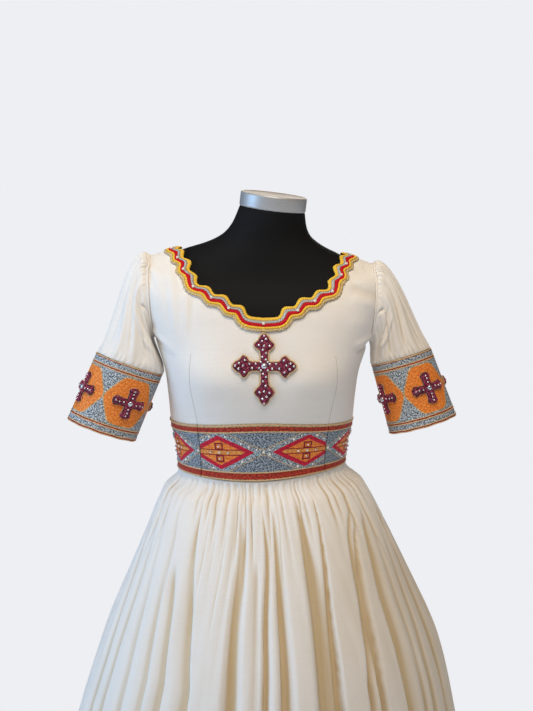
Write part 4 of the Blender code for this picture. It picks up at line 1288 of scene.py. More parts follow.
def depth_inside(points, outline):
    """How far points lie inside an outline. It is negative outside it."""
    start, way = outline, np.roll(outline, -1, axis=0) - outline
    rel = points[:, None] - start[None]
    along = np.clip((rel * way).sum(-1) / (way * way).sum(-1), 0, 1)
    gap = np.linalg.norm(rel - along[..., None] * way, axis=-1).min(axis=1)
    low, high = start[:, 1], (start + way)[:, 1]
    crosses = (low[None] > points[:, 1:]) != (high[None] > points[:, 1:])
    climb = np.where(way[:, 1] == 0, 1e-12, way[:, 1])
    reach = start[None, :, 0] + way[None, :, 0] * (points[:, 1:] - low[None]) / climb
    return np.where((crosses & (points[:, :1] < reach)).sum(axis=1) % 2 == 1, gap, -gap)


def pad_height(depth, rise):
    """The crowned profile of a beaded pad."""
    return rise * np.sqrt(smooth(depth, -0.0004, 0.0065))


def bead_places(outline, pitch, edge):
    """Flat places of beads packed in a cross, no nearer its outline than edge."""
    low, high = outline.min(axis=0), outline.max(axis=0)
    rows = np.arange(low[1], high[1], pitch * 0.866)
    places = []
    for number, y in enumerate(rows):
        x = np.arange(low[0] + (number % 2) * pitch / 2, high[0], pitch)
        places.append(np.stack([x, y + 0 * x], axis=-1))
    places = np.concatenate(places)
    return places[depth_inside(places, outline) > edge]


class Cross:
    """A beaded cross on a panel."""

    def __init__(self, arm, stretch, place, rise):
        self.arm, self.stretch, self.place, self.rise = arm, stretch, place, rise
        self.outline = cross_outline(arm, stretch)

    def normals(self, flat, lift):
        small = 0.0005
        x, y = flat[..., 0], flat[..., 1]
        across = self.place(x + small, y, lift) - self.place(x - small, y, lift)
        up = self.place(x, y + small, lift) - self.place(x, y - small, lift)
        return unit(np.cross(across, up))

    def pad(self):
        """The (points, flat) grids of its pad."""
        middle = self.arm.rows[0, 0] * np.linspace(-1, 1, 9)
        grids = [flat_grid(middle[None, :], middle[:, None])]
        grids += cross_arms(self.arm, self.stretch, 22, np.linspace(1, -1, 9))
        made = []
        for flat in grids:
            depth = depth_inside(flat.reshape(-1, 2), self.outline).reshape(flat.shape[:2])
            lift = pad_height(np.maximum(depth, 0), self.rise)
            made.append((self.place(flat[..., 0], flat[..., 1], lift), flat))
        return made

    def border(self, radius):
        outline = np.concatenate([self.outline, self.outline[:1]])
        length = arc(outline)
        even = np.linspace(0, length[-1], int(length[-1] / 0.0016))[:-1]
        line = np.stack([np.interp(even, length, outline[:, k]) for k in (0, 1)], axis=-1)
        points = self.place(line[:, 0], line[:, 1], np.full(len(line), radius * 0.8))
        return thread(points, self.normals(line, 0.0), radius, closed=True)

    def beads(self, pitch, edge, seed):
        """Places and normals of its beads."""
        chance = np.random.default_rng(seed)
        flat = bead_places(self.outline, pitch, edge)
        flat = flat + chance.normal(0, pitch * 0.09, flat.shape)
        lift = pad_height(depth_inside(flat, self.outline), self.rise)
        return self.raised(flat, lift)

    def raised(self, flat, lift):
        flat = np.asarray(flat, float)
        lift = np.broadcast_to(lift, flat.shape[:1])
        return self.place(flat[:, 0], flat[:, 1], lift), self.normals(flat, lift)

    def on_pad(self, flat, more):
        """Places and normals on top of the pad's beads."""
        flat = np.asarray(flat, float)
        return self.raised(flat, pad_height(np.maximum(depth_inside(flat, self.outline), 0), self.rise) + more)


# Silver beads on the chest cross, across and up from its middle, in millimetres.
CHEST_SHIFT = (0.0018, -0.0022)
CHEST_SILVER = [
    (9, 3), (13, -3.5), (19, 3), (24, -3.5), (31, 8.5), (32, -8.5), (35, 1), (41, 4), (40, -4.5),
    (46, 0), (-9, -3), (-14, 3.5), (-20, -3), (-24, 3), (-31, 8.5), (-32, -8.5), (-34, 0.5), (-40, 4),
    (-41, -4), (-46, 0), (3, 10), (-3.5, 14), (3, 20), (-2.5, 25), (8.5, 31), (-8.5, 32), (0, 31),
    (-3.5, 38), (3, 41), (0, 46), (-3, -11), (3, -15), (-3, -21), (2.5, -27), (8.5, -37), (-8.5, -36),
    (0, -35), (4, -43), (-3.5, -46), (0, -54), (6, 6), (-6, 6), (6, -6), (-6, -6),
]
CUFF_SILVER = [
    (10, 0.5), (16, -0.5), (21, 0), (-10, -0.5), (-16, 0.5), (-21, 0),
    (0, 10), (0.5, 16), (0, 21), (0, -10), (-0.5, -16), (0, -21),
]


def chest_place(across, up, lift):
    level, angle = seen_from_front(CHEST_CROSS_X + CHEST_SHIFT[0] + across, CHEST_CROSS_Z + CHEST_SHIFT[1] + up)
    return settled(body(level, angle, EASE + COTTON + OVERLAY_GAP + lift))


def sew_chest_cross(bead, pad, crimson, gold, silver, stone):
    cross = Cross(CHEST_CROSS_ARM, LOWER_ARM_STRETCH, chest_place, 0.0030)
    cloth = shell("chest_cross_pad", cross.pad(), 0.0012, pad, (0, 0, CHEST_CROSS_Z))
    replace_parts(cloth, "chest_cross")
    places, normals = cross.beads(0.0021, 0.0013, 11)
    places = places + normals * 0.0017
    sizes = (bead, bead - 0.00013)
    copies("chest_cross_beads", ball(3, 6), places, normals, sizes, crimson, 5)
    threads("chest_cross_border", [cross.border(0.0015)], gold)
    places, normals = cross.on_pad(np.array(CHEST_SILVER) / 1000, 0.0027)
    copies("chest_cross_silver", ball(4, 8), places, normals, (0.0020, 0.0016), silver, 6)
    places, normals = cross.on_pad([(0.0, 0.0)], 0.0020)
    copies("chest_cross_stone", gem(8), places, normals, (0.0048, 0.0032), stone, 7)


# ---- the waistband


class Waistband:
    """The embroidered band. u runs round it from the centre front, and v down from its top, as it was charted.

    Each piece has its own share of the chart, so the diamonds are cut at the darts."""

    def __init__(self):
        self.turn = np.linspace(0, HALF_TURN, 361)
        angle = FRONT + self.turn
        points = body((waist(angle) + band_top(angle)) / 2, angle, np.full(len(angle), EASE + EMBROIDERED))
        self.length = arc(points, 0)

    def u_at(self, angle, keys):
        turn = (np.asarray(angle) - FRONT + HALF_TURN) % TURN - HALF_TURN
        length = np.interp(np.abs(turn), self.turn, self.length)
        return np.sign(turn) * np.interp(length, *np.array(keys).T)

    def angle_at(self, u, keys):
        u = np.asarray(u, float)
        length = np.interp(np.abs(u), *np.array(keys).T[::-1])
        return FRONT + np.sign(u) * np.interp(length, self.length, self.turn)

    def at(self, angle, v, lift):
        low, high = waist(angle), band_top(angle)
        return body(high - (high - low) * v / BAND_CUT_HEIGHT, angle, lift)

    def normals(self, angle, v):
        low, high = waist(angle), band_top(angle)
        return body_directions(high - (high - low) * v / BAND_CUT_HEIGHT, angle)[2]


# How far each piece ends from its seam's middle, in radians.
BAND_SEAM = 0.0055
# Lengths along the band from the centre front, and the places of the chart that are sewn there.
FRONT_CHART = ((0.0, 0.0), (0.0154, 0.0130), (0.0719, 0.0695), (0.1150, 0.1126))
SIDE_CHART = ((0.1050, 0.1320), (0.1620, 0.2085), (0.2140, 0.2790))
BACK_CHART = ((0.2110, 0.2765), (0.4148, 0.4865))


def dart_angle(share):
    """The dart beside the front piece, up from the waist."""
    return FRONT + DART_LOW + (DART_HIGH - DART_LOW) * share


def level_line(angle):
    """A seam that runs straight up at an angle."""
    return lambda share: 0 * share + angle


def far_dart(share):
    return -HALF_TURN - dart_angle(share)


# Where each piece starts and ends round the waist, its columns of mesh and its part of the chart.
BAND_PIECES = {
    "band_front": (far_dart, dart_angle, 150, FRONT_CHART),
    "band_side_front_left": (dart_angle, level_line(0.0), 44, SIDE_CHART),
    "band_side_front_right": (level_line(-HALF_TURN), far_dart, 44, SIDE_CHART),
    "band_back_left": (level_line(0.0), level_line(HALF_TURN / 2), 70, BACK_CHART),
    "band_back_right": (level_line(HALF_TURN / 2), level_line(HALF_TURN), 70, BACK_CHART),
}


def sew_waistband(cord, embroidery, gold):
    band = Waistband()
    share = np.linspace(0, 1, 29)[:, None]
    v = BAND_CUT_HEIGHT * (1 - share)
    lines = []
    for name, (first, last, columns, chart) in BAND_PIECES.items():
        low, high = first(share) + BAND_SEAM, last(share) - BAND_SEAM
        angles = low + (high - low) * np.linspace(0, 1, columns + 1)[None, :]
        points = band.at(angles, v + 0 * angles, EASE)
        u = band.u_at(angles, chart)
        if name == "band_back_right":
            u = -np.abs(u)
        grid = (points, np.stack([u, v + 0 * u], axis=-1))
        piece = shell(f"{name}_cloth", [grid], EMBROIDERED, embroidery, (0, 0, 1.08))
        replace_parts(piece, name)
        width = round(float(arc(points, 1)[:, -1].max()), 3)
        for level in BAND_THREADS:
            at = np.array(1 - level / BAND_CUT_HEIGHT)
            inset = BAND_SEAM * 1.5
            angle = np.linspace(float(first(at)) + inset, float(last(at)) - inset, columns + 1)
            points = band.at(angle, level, EASE + EMBROIDERED + 0.0003)
            lines.append(thread(points, band.normals(angle, level), cord))
    threads("waistband_cords", lines, gold)


def band_bead_places():
    """Flat places of the waistband's beads, by kind."""
    kinds = {"silver": [], "turquoise": [], "pearl": []}
    order = ("turquoise", "silver", "pearl", "silver")
    for gap in range(-3, 4):
        kinds["pearl"].append((gap * BAND_REPEAT, 0.0))
        for number, q in enumerate((0.0085, 0.0205, 0.0325, 0.0445, 0.0565)):
            up = 0.5 * (0.0052 + (q - 0.003) * DIAMOND_SLOPE) + 0.5 * max(0.0, (q - 0.013) * DIAMOND_SLOPE)
            for side in (-1, 1):
                for way in (-1, 1):
                    kind = order[(number + gap + (way > 0) + 2 * (side > 0)) % 4]
                    kinds[kind].append((gap * BAND_REPEAT + side * q, way * up))
    for middle in (-3.5, -2.5, -1.5, -0.5, 0.5, 1.5, 2.5, 3.5):
        for across, up in ((-0.015, 0), (0.015, 0), (0, 0.0108), (0, -0.0108)):
            kinds["silver"].append((middle * BAND_REPEAT + across, up))
        kinds["pearl"].append((middle * BAND_REPEAT, 0.0))
    return kinds


def sew_waistband_beads(looks):
    band = Waistband()
    for kind, flat in band_bead_places().items():
        places, normals = [], []
        for first, last, _, chart in BAND_PIECES.values():
            for u, up in flat:
                v = BAND_MIDDLE - up
                low, high = (float(edge(np.array(1 - v / BAND_CUT_HEIGHT))) for edge in (first, last))
                if not chart[0][1] <= abs(u) <= chart[-1][1]:
                    continue
                angle = float(band.angle_at(u, chart))
                angle += TURN * round(((low + high) / 2 - angle) / TURN)
                if low + 0.02 < angle < high - 0.02:
                    places.append(band.at(np.array(angle), v, EASE + EMBROIDERED + 0.0008))
                    normals.append(band.normals(np.array(angle), v))
        size = (0.0023, 0.0019) if kind == "pearl" else (0.0019, 0.0016)
        name = f"waistband_beads_{kind}"
        copies(name, ball(4, 8), places, normals, size, looks[kind], 21)


# ---- the sleeves

# Creases of a sleeve: where each starts and ends round it and down it, its half width and how far it stands
# out. 0.75 round is the front and 0.25 the back.
SLEEVE_CREASES = Table(
    "round0 down0 round1 down1 width rise",
    (0.925, 0.05, 0.945, 1, 0.016, 0.003),
    (0.88, 0.1, 0.89, 0.9, 0.011, -0.0028),
    (0.835, 0.05, 0.832, 1, 0.015, 0.0034),
    (0.79, 0.08, 0.78, 0.85, 0.01, -0.003),
    (0.745, 0.05, 0.735, 1, 0.014, 0.003),
    (0.7, 0.1, 0.685, 0.9, 0.01, -0.0032),
    (0.655, 0.06, 0.64, 0.98, 0.013, 0.0028),
    (0.61, 0.06, 0.6, 0.85, 0.01, -0.0026),
    (0.64, 0.04, 0.69, 0.24, 0.007, -0.0062),
    (0.72, 0.32, 0.6, 0.6, 0.013, -0.0066),
    (0.745, 0.44, 0.63, 0.72, 0.014, 0.004),
    (0.97, 0.1, 0.985, 0.85, 0.011, -0.0026),
    (0.015, 0.05, 0.02, 1, 0.016, 0.003),
    (0.065, 0.1, 0.06, 0.9, 0.011, -0.0028),
    (0.11, 0.05, 0.115, 0.98, 0.015, 0.0032),
    (0.16, 0.08, 0.165, 0.82, 0.011, -0.003),
    (0.205, 0.05, 0.21, 1, 0.014, 0.003),
    (0.255, 0.1, 0.262, 0.88, 0.011, -0.003),
    (0.305, 0.05, 0.31, 0.96, 0.014, 0.0028),
    (0.35, 0.08, 0.355, 0.84, 0.01, -0.0028),
    (0.36, 0.05, 0.315, 0.26, 0.009, -0.0044),
    (0.285, 0.34, 0.395, 0.6, 0.013, -0.0058),
)


class Sleeve:
    """One sleeve with its cuff. share runs round it from 0 at the top or outer side, by way of the back."""

    def __init__(self, row):
        size = dict(zip(SLEEVE_COLUMNS.split(), row))
        self.side = size["side"]
        self.top = np.array([self.side * size["top_x"], size["top_y"], size["top_z"]])
        self.low = np.array([self.side * size["low_x"], size["low_y"], size["low_z"]])
        self.halves = (size["top_half"], size["low_half"])
        self.cross_turn = size["cross_turn"]
        self.axis = unit(self.low - self.top)
        self.back = unit(np.array([0, 1, 0]) - self.axis[1] * self.axis)
        self.out = unit(np.cross(self.axis, self.back) * self.side + size["tilt"] * self.axis)
        self.girth = HALF_TURN * sum(self.halves) * math.sqrt((1 + CUFF_FLATNESS**2) / 2)

    def cuff(self, share, drop, lift):
        """A point of the cuff, drop below its top along its axis."""
        turn, drop, lift = np.broadcast_arrays(TURN * np.asarray(share, float), np.asarray(drop, float), lift)
        half = (self.halves[0] + (self.halves[1] - self.halves[0]) * drop / CUFF_HEIGHT)[..., None]
        deep = half * CUFF_FLATNESS
        cosine, sine = np.cos(turn)[..., None], np.sin(turn)[..., None]
        normal = unit(cosine * deep * self.out + sine * half * self.back)
        points = self.top + drop[..., None] * self.axis + cosine * half * self.out + sine * deep * self.back
        return points + lift[..., None] * normal

    def outward(self, share):
        turn = TURN * np.asarray(share, float)[..., None]
        return unit(np.cos(turn) * CUFF_FLATNESS * self.out + np.sin(turn) * self.back)

    def plain(self, share, down):
        """The sleeve without its gathers. down is 0 at the armhole and 1 at the cuff."""
        share, down = np.broadcast_arrays(np.asarray(share, float), np.asarray(down, float))
        turn = TURN * share
        turn = turn - 0.55 * np.sin(turn)
        upper = ((1 + np.cos(turn)) / 2)[..., None]
        lift = EASE + COTTON + SEAM_GAP + (1 - upper[..., 0]) * COTTON
        start = settled(body(*armhole(turn), lift) * np.array([self.side, 1, 1]))
        end = self.cuff(share, -CUFF_GAP, 0.0)
        reach = np.linalg.norm(end - start, axis=-1, keepdims=True)
        high = np.array([self.side * 0.95, 0, 0.45])
        low = np.array([self.side * 0.80, 0, -0.60])
        first = start + unit(high * upper + low * (1 - upper)) * reach * (0.21 + 0.07 * (1 - upper))
        second = end - self.axis * reach * (0.17 + 0.17 * (1 - upper)) - self.out * reach * 0.10 * upper
        t = down[..., None]
        return (1 - t) ** 3 * start + 3 * t * (1 - t) ** 2 * first + 3 * t * t * (1 - t) * second + t**3 * end

    def relief(self, share, down):
        """How far the gathers and folds stand out."""
        upper = np.clip(np.cos(TURN * share) + 0.45, 0, 1)
        wander = 0.10 * np.sin(5 * TURN * share + 7 * down + self.side)
        wander = wander + 0.07 * np.sin(11 * TURN * share - 5 * down)
        head = np.abs(np.sin(HALF_TURN * 44 * (share + wander * 0.035))) ** 0.8
        low = np.abs(np.sin(HALF_TURN * 34 * (share + wander * 0.05 + 0.004)))
        uneven = 0.75 + 0.25 * np.sin(19 * TURN * share + 2.0)
        puckers = smooth(down, 0.0, 0.03) * (1 - smooth(down, 0.05, 0.19 + 0.06 * np.sin(9 * TURN * share)))
        pinches = (1 - smooth(down, 0.97, 1.0)) * smooth(down, 0.84 + 0.05 * np.sin(7 * TURN * share), 0.96)
        height = 0.0036 * upper * puckers * head * uneven + 0.0018 * pinches * low * uneven
        folds = np.zeros_like(height)
        for round0, down0, round1, down1, width, rise in SLEEVE_CREASES.rows:
            along = (down - down0) / (down1 - down0)
            shift = 0.006 * self.side * math.sin(90 * round0)
            line = round0 + shift + (round1 - round0) * along + 0.006 * np.sin(4 * along + 40 * round0)
            away = ((share - line + 0.5) % 1 - 0.5) / (width * 1.1)
            faded = smooth(along, -0.05, 0.20) * (1 - smooth(along, 0.80, 1.02))
            folds += 0.78 * rise * np.exp(-(away**2)) * faded
        return height + folds + 0.0012 * smooth(down, 0.0, 0.08) * (1 - smooth(down, 0.9, 1.0)), folds

    def grid(self, columns, rows):
        """The (points, flat, painted shade) grid of the sleeve."""
        share = np.linspace(0, 1, columns + 1)[None, :]
        even = np.linspace(0, 1, rows)
        down = (even - 0.10 * np.sin(TURN * even) / TURN * 4)[:, None]
        share, down = np.broadcast_arrays(share, down)
        plain = self.plain(share, down)
        around = np.roll(plain[:, :-1], -1, axis=1) - np.roll(plain[:, :-1], 1, axis=1)
        around = np.concatenate([around, around[:, :1]], axis=1)
        outward = unit(np.cross(np.gradient(plain, axis=0), around)) * self.side
        height, folds = self.relief(share, down)
        points = plain + height[..., None] * outward
        points[:, -1] = points[:, 0]
        # Painted shade: darker in the hollows between the gathers and folds. The left sleeve, turned from the
        # window light, gets more, and more again over its lower part; the right sleeve gets only a little.
        mean = sum(np.roll(height[:, :-1], k, axis=1) for k in range(-4, 5)) / 9
        mean = np.concatenate([mean, mean[:, :1]], axis=1)
        hollow = smooth(mean - height, -0.0002, 0.0011)
        if self.side < 0:
            hollow = hollow * 0.12
        else:
            lower = smooth(down, 0.15, 0.6)
            hollow = np.clip(hollow * (0.15 + 0.65 * lower) + 0.16 * lower, 0, 1)
        turn = TURN * share[0]
        turn = turn - 0.55 * np.sin(turn)
        lips = []
        for reach, lift in ((0.0034, 0.0003), (0.0016, 0.0016)):
            level, angle = beside(*armhole(turn), reach)
            lip = settled(body(level, angle, EASE + COTTON + lift + 0 * level) * np.array([self.side, 1, 1]))
            lip[0] = lip[-1] = (lip[0] + lip[-1]) / 2
            lips.append(lip)
        points = np.concatenate([np.array(lips), points])
        hollow = np.concatenate([0 * hollow[:2], hollow])
        flat = np.stack([np.broadcast_to(share[:1] * self.girth * 1.5, hollow.shape), arc(points, 0)], axis=-1)
        return points, flat, hollow


def sew_sleeves(cotton):
    for name, row in SLEEVES.items():
        sleeve = Sleeve(row)
        grid = sleeve.grid(300, 84)
        core = (sleeve.top + settled(body(*armhole(0.0), 0) * np.array([sleeve.side, 1, 1]))) / 2
        piece = shell(f"sleeve_{name}_cloth", [grid], COTTON, cotton, core)
        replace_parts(piece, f"sleeve_{name}")


def waved(share, drop):
    """How far down a cuff a line of it really lies, as the lower edge isn't quite straight."""
    return drop + 0.0003 * np.sin(11 * TURN * share) * smooth(drop, 0.09, CUFF_HEIGHT)


def sew_cuffs(cord, embroidery, gold):
    for name, row in SLEEVES.items():
        sleeve = Sleeve(row)
        share, drop = np.meshgrid(np.linspace(0, 1, 161), np.linspace(0, CUFF_HEIGHT, 31))
        points = sleeve.cuff(share, waved(share, drop), 0.0)
        points[:, -1] = points[:, 0]
        grid = (points, np.stack([(share - sleeve.cross_turn) * CUFF_CROSSES * CUFF_REPEAT, drop], axis=-1))
        core = (sleeve.top + sleeve.low) / 2
        piece = shell(f"cuff_{name}_cloth", [grid], EMBROIDERED, embroidery, core)
        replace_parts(piece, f"cuff_{name}")
        lines = []
        turn = np.linspace(0, 1, 181)[:-1]
        for drop in CUFF_THREADS:
            around = sleeve.cuff(turn, waved(turn, drop), EMBROIDERED + 0.0002)
            lines.append(thread(around, sleeve.outward(turn), cord, closed=True))
        threads(f"cuff_{name}_cords", lines, gold)


class CuffCross(Cross):
    """A beaded cross on a cuff, round the sleeve from its top by a share of its girth."""

    def __init__(self, sleeve, middle):
        self.sleeve, self.middle = sleeve, middle
        super().__init__(CUFF_CROSS_ARM, 1, self.cuff_place, 0.0022)

    def cuff_place(self, across, up, lift):
        share = self.middle + across / self.sleeve.girth
        return self.sleeve.cuff(share, CUFF_MIDDLE - up, EMBROIDERED + 1.5 * SEAM_GAP + lift)

    def normals(self, flat, lift):
        return self.sleeve.outward(self.middle + np.asarray(flat)[:, 0] / self.sleeve.girth)


def sew_cuff_crosses(bead, pad, crimson, gold, silver, stone):
    for name, row in SLEEVES.items():
        sleeve = Sleeve(row)
        turns = [(k + 0.5) / CUFF_CROSSES + sleeve.cross_turn for k in range(CUFF_CROSSES)]
        crosses = [CuffCross(sleeve, turn) for turn in turns]
        grids = [grid for cross in crosses for grid in cross.pad()]
        core = (sleeve.top + sleeve.low) / 2
        cloth = shell(f"cuff_crosses_{name}", grids, 0.0012, pad, core)
        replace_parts(cloth, *[f"cuff_cross_{name}_{k + 1}" for k in range(CUFF_CROSSES)])
        places, normals = joined(cross.beads(0.0020, 0.0010, 30 + k) for k, cross in enumerate(crosses))
        places = places + normals * 0.0016
        sizes = (bead, bead - 0.00015)
        copies(f"cuff_cross_beads_{name}", ball(3, 6), places, normals, sizes, crimson, 31)
        borders = [cross.border(0.0008) for cross in crosses]
        threads(f"cuff_cross_borders_{name}", borders, gold)
        places, normals = joined(cross.on_pad(np.array(CUFF_SILVER) / 1000, 0.0022) for cross in crosses)
        sizes = (0.0016, 0.0013)
        copies(f"cuff_cross_silver_{name}", ball(4, 8), places, normals, sizes, silver, 32)
        places, normals = joined(cross.on_pad([(0.0, 0.0)], 0.0016) for cross in crosses)
        sizes = (0.0050, 0.0026)
        copies(f"cuff_cross_stones_{name}", gem(4), places, normals, sizes, stone, 33)


def joined(sets):
    """Places and normals of several sets in one."""
    return [np.concatenate(parts) for parts in zip(*sets)]


# ---- the skirt

# The hollows between the skirt's folds. Each row has the angles, in degrees from the front, at which a hollow
# lies at each of HOLLOW_LEVELS below the waist, how wide its left and right banks are, its share of the folds'
# full depth, and how far below the waist, in metres, it starts and ends.
HOLLOWS = Table(
    "high upper middle low left right depth start end",
    (-171, -169, -168, -168, 8, 5, 0.8, 0.03, 9), (-155, -154, -154, -155, 4, 7, 0.7, 0.05, 9),
    (-143, -141, -140, -139, 7, 3, 0.9, 0.03, 9), (-128, -127, -126, -125, 3, 8, 0.7, 0.04, 9),
    (-114, -112, -111, -112, 8, 4, 0.8, 0.03, 9), (-101, -99, -98, -98, 3, 6, 0.6, 0.06, 9),
    (-94, -90, -87, -86, 5, 3, 0.45, 0.04, 9), (-84, -80, -75, -73, 4, 3, 0.35, 0.04, 9),
    (-75, -70, -65.5, -64.5, 4, 1.2, 0.24, 0.04, 9), (-68, -62.5, -57.5, -55, 4, 1.2, 0.18, 0.04, 9),
    (-57, -53, -49.8, -46.5, 4.5, 1.4, 0.28, 0.03, 9), (-51, -49.5, -43, -39.5, 5, 1.6, 0.44, 0.11, 9),
    (-43.5, -40, -33.5, -29.6, 6.5, 1.6, 0.52, 0.02, 9), (-36.5, -34.5, -32.5, -31, 1, 1, 0.25, 0.01, 0.15),
    (-31.5, -29.8, -29, -28.5, 1.2, 0.9, 0.22, 0.01, 0.12),
    (-24.6, -24, -24.4, -24.4, 0.9, 0.7, 0.16, 0.03, 0.19),
    (-17.6, -15.2, -15.7, -15.4, 2.8, 5.4, 0.66, 0.01, 9), (-9.6, -8.6, -8.4, -8.4, 2, 1.3, 0.5, 0.015, 0.1),
    (-7, -7, -6.6, -6.4, 2.8, 2.4, 0.26, 0.09, 9),
    (-2.2, -1.6, -3.6, -4.2, 1.2, 3.6, 0.7, 0.02, 9), (4.4, 3.6, 2.4, 2, 1.3, 5.4, 0.68, 0.01, 9),
    (8.3, 6.9, 6.2, 6, 0.8, 0.8, 0.22, 0.02, 0.13), (12.6, 12, 12, 12, 1, 0.8, 0.2, 0.04, 0.1),
    (20.5, 19.5, 18, 16.4, 3.8, 7.5, 0.85, 0.01, 9), (33, 29.5, 24.8, 22.4, 3, 0.9, 0.95, 0.005, 9),
    (55, 45, 38.2, 33.5, 2.4, 2.6, 0.8, 0.03, 9), (60, 49, 41.2, 37.6, 2.6, 1.4, 0.85, 0.06, 9),
    (63, 55.5, 49, 47.6, 1.3, 7, 0.55, 0.04, 9), (72, 64, 58.5, 56, 3.5, 2, 0.16, 0.06, 9),
    (79, 72, 65, 61.5, 3.5, 2, 0.2, 0.05, 9), (86, 80, 74, 71, 4, 3, 0.35, 0.04, 9),
    (93, 89, 85, 84, 5, 3, 0.45, 0.04, 9), (101, 98, 97, 98, 4, 7, 0.7, 0.04, 9),
    (114, 112, 111, 111, 7, 3, 0.8, 0.03, 9), (129, 127, 126, 126, 4, 7, 0.8, 0.04, 9),
    (143, 142, 142, 141, 7, 4, 0.9, 0.03, 9), (158, 157, 157, 158, 3, 7, 0.7, 0.05, 9),
    (176, 175, 174, 175, 7, 4, 0.8, 0.03, 9),
)
HOLLOW_LEVELS = np.array([0.05, 0.10, 0.20, 0.30])
FOLD_SHARE = 1.05
# How far the gathers lean outward near the waist, in degrees, by how far below it they are.
LEAN = Table("drop lean", (0, 10), (0.015, 8), (0.03, 5.5), (0.05, 3.5), (0.10, 1.2), (0.16, 0), (0.3, 0))


def small_gathers():
    """The small gathers that run down from the waist, uneven as cloth is.

    Each is its angle, reach, half width, depth and drift."""
    chance = np.random.default_rng(19)
    rows = []
    for k in range(128):
        reach = 0.030 + 0.20 * chance.random() ** 2.4
        depth = 0.0010 + 0.0024 * chance.random() ** 1.5 + 0.006 * min(reach, 0.15)
        angle = (k + chance.uniform(-0.45, 0.45)) * 360 / 128 - 180
        rows.append((angle, reach, chance.uniform(0.55, 1.20), depth, chance.uniform(-1.6, 1.6)))
    return rows


def skirt_folds(degrees, drop):
    """How far the main folds stand out, as a share of their depth: flat panels between crisp hollows."""
    degrees, drop = np.broadcast_arrays(degrees, drop)
    height = np.ones(degrees.shape)
    lean = np.maximum(LEAN.at("lean", drop) - LEAN.at("lean", HOLLOW_LEVELS[0]), 0)
    straight = degrees - lean * np.sin(2 * np.radians(degrees))
    narrowed, full = 0.45 + 0.55 * smooth(drop, 0.0, 0.16), smooth(drop, 0.32, 0.60)
    for row in HOLLOWS.rows:
        left, right, depth, start, end = row[4:]
        line = monotone(HOLLOW_LEVELS, row[:4], drop) + 0.25 * np.sin(14 * drop + row[0])
        away = (straight - line + 180) % 360 - 180
        bank = np.where(away < 0, left, right) * narrowed
        bank = bank + np.maximum(6.5 - bank, 0) * full
        depth = depth + max(0.75 - depth, 0) * full
        shape = smooth(1 - np.abs(away) / bank, 0.0, 0.85)
        reached = smooth(drop, start, start + 0.05) * (1 - smooth(drop, end - 0.04, end + 0.04))
        height = height - FOLD_SHARE * depth * shape * reached
    return np.maximum(height, -0.05)


def skirt_relief(degrees, drop):
    """How far the gathers and the crumple of the cloth stand out."""
    turn = np.radians(degrees)
    fine = np.sin(61 * turn + 3 * np.sin(5 * turn + 6 * drop)) * np.sin(17 * turn - 9 * drop)
    broad = np.sin(37 * turn + 4 * np.sin(3 * turn - 8 * drop))
    height = 0.00035 * fine + 0.0005 * broad * smooth(drop, 0.02, 0.2)
    straight = degrees - LEAN.at("lean", drop) * np.sin(2 * turn)
    for angle, reach, width, depth, drift in small_gathers():
        along = drop / reach
        line = angle + drift * np.clip(along, 0, 1.2) + 0.30 * np.sin(24 * drop + angle)
        away = ((straight - line + 180) % 360 - 180) / (width * (1 + 0.5 * np.clip(along, 0, 1)))
        faded = smooth(drop, 0.0015, 0.008) * (1 - smooth(along, 0.35, 1.05))
        height = height - depth * np.exp(-(away**2)) * faded
    return height


def skirt_grid(begin, columns, rows):
    """The (points, flat, painted shade) grid of the front or the back of the skirt."""
    length = WAIST - HEM
    even = np.linspace(0, 1, rows)
    drop = (length * (0.16 * even + 0.84 * even**2.2))[:, None]
    z = WAIST - drop
    seam_gap = 0.6 * SEAM_GAP / SKIRT.at("half_width", z)
    angle = begin + seam_gap + (HALF_TURN - 2 * seam_gap) * np.linspace(0, 1, columns + 1)[None, :]
    drop = drop + 0 * angle
    z = z + 0 * angle
    free = ring_radius(angle, *[SKIRT.at(name, z) for name in ("half_width", "front", "back", "power")])
    seam = np.linalg.norm(body(waist(angle), angle, EASE)[..., :2], axis=-1)
    loose = smooth(drop - 0.002, 0.0, 0.034)
    started = np.clip((drop - 0.002) / 0.024, 0, 1)
    degrees = np.degrees(angle - FRONT)
    depth = SKIRT.at("fold", z)
    raised = skirt_folds(degrees, drop)
    height = depth * raised * started + skirt_relief(degrees, drop)
    radius = seam + (free - seam) * loose + height + 0.0006 * started
    lowered = (2 * SEAM_GAP + WAIST - waist(angle)) * (1 - drop / length) ** 2
    across = radius * np.cos(angle) + SKIRT.at("sway", z)
    points = np.stack([across, radius * np.sin(angle), z - lowered], axis=-1)
    # Painted shade, darker and warmer: in the narrow hollows of the gathers, most near the waist; in the
    # valleys of the folds, more towards the wearer's left and less at the back; and over the front's
    # wearer's-left side below the waist, turned from the window light.
    window = 7
    padded = np.pad(height, ((0, 0), (window, window)), mode="edge")
    mean = sum(padded[:, k : k + columns + 1] for k in range(2 * window + 1)) / (2 * window + 1)
    narrow = smooth(mean - height, -0.0002, 0.0022)
    wide = smooth(1 - raised, 0.05, 0.85) * smooth(drop, 0.01, 0.10)
    behind = smooth(degrees, 90, 140)
    shaded = smooth(degrees, 10, 75) * smooth(drop, 0.02, 0.16) * (1 - behind)
    near = 1 - smooth(drop, 0.03, 0.12)
    deep = 0.54 + 0.30 * smooth(degrees, -30, 25) - 0.42 * behind
    hollow = np.clip((0.50 + 0.50 * near) * narrow + deep * wide + 0.48 * shaded, 0, 1) * started
    flat = np.stack([(degrees / 360) * 2.6, drop], axis=-1)
    return points, flat, hollow


def sew_skirt(cotton):
    for name, begin, columns, rows in (("skirt_front", -HALF_TURN, 400, 100), ("skirt_back", 0.0, 300, 64)):
        grid = skirt_grid(begin, columns, rows)
        piece = shell(f"{name}_cloth", [grid], COTTON, cotton, (0, 0, 0.6))
        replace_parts(piece, name)


# ---- the stage


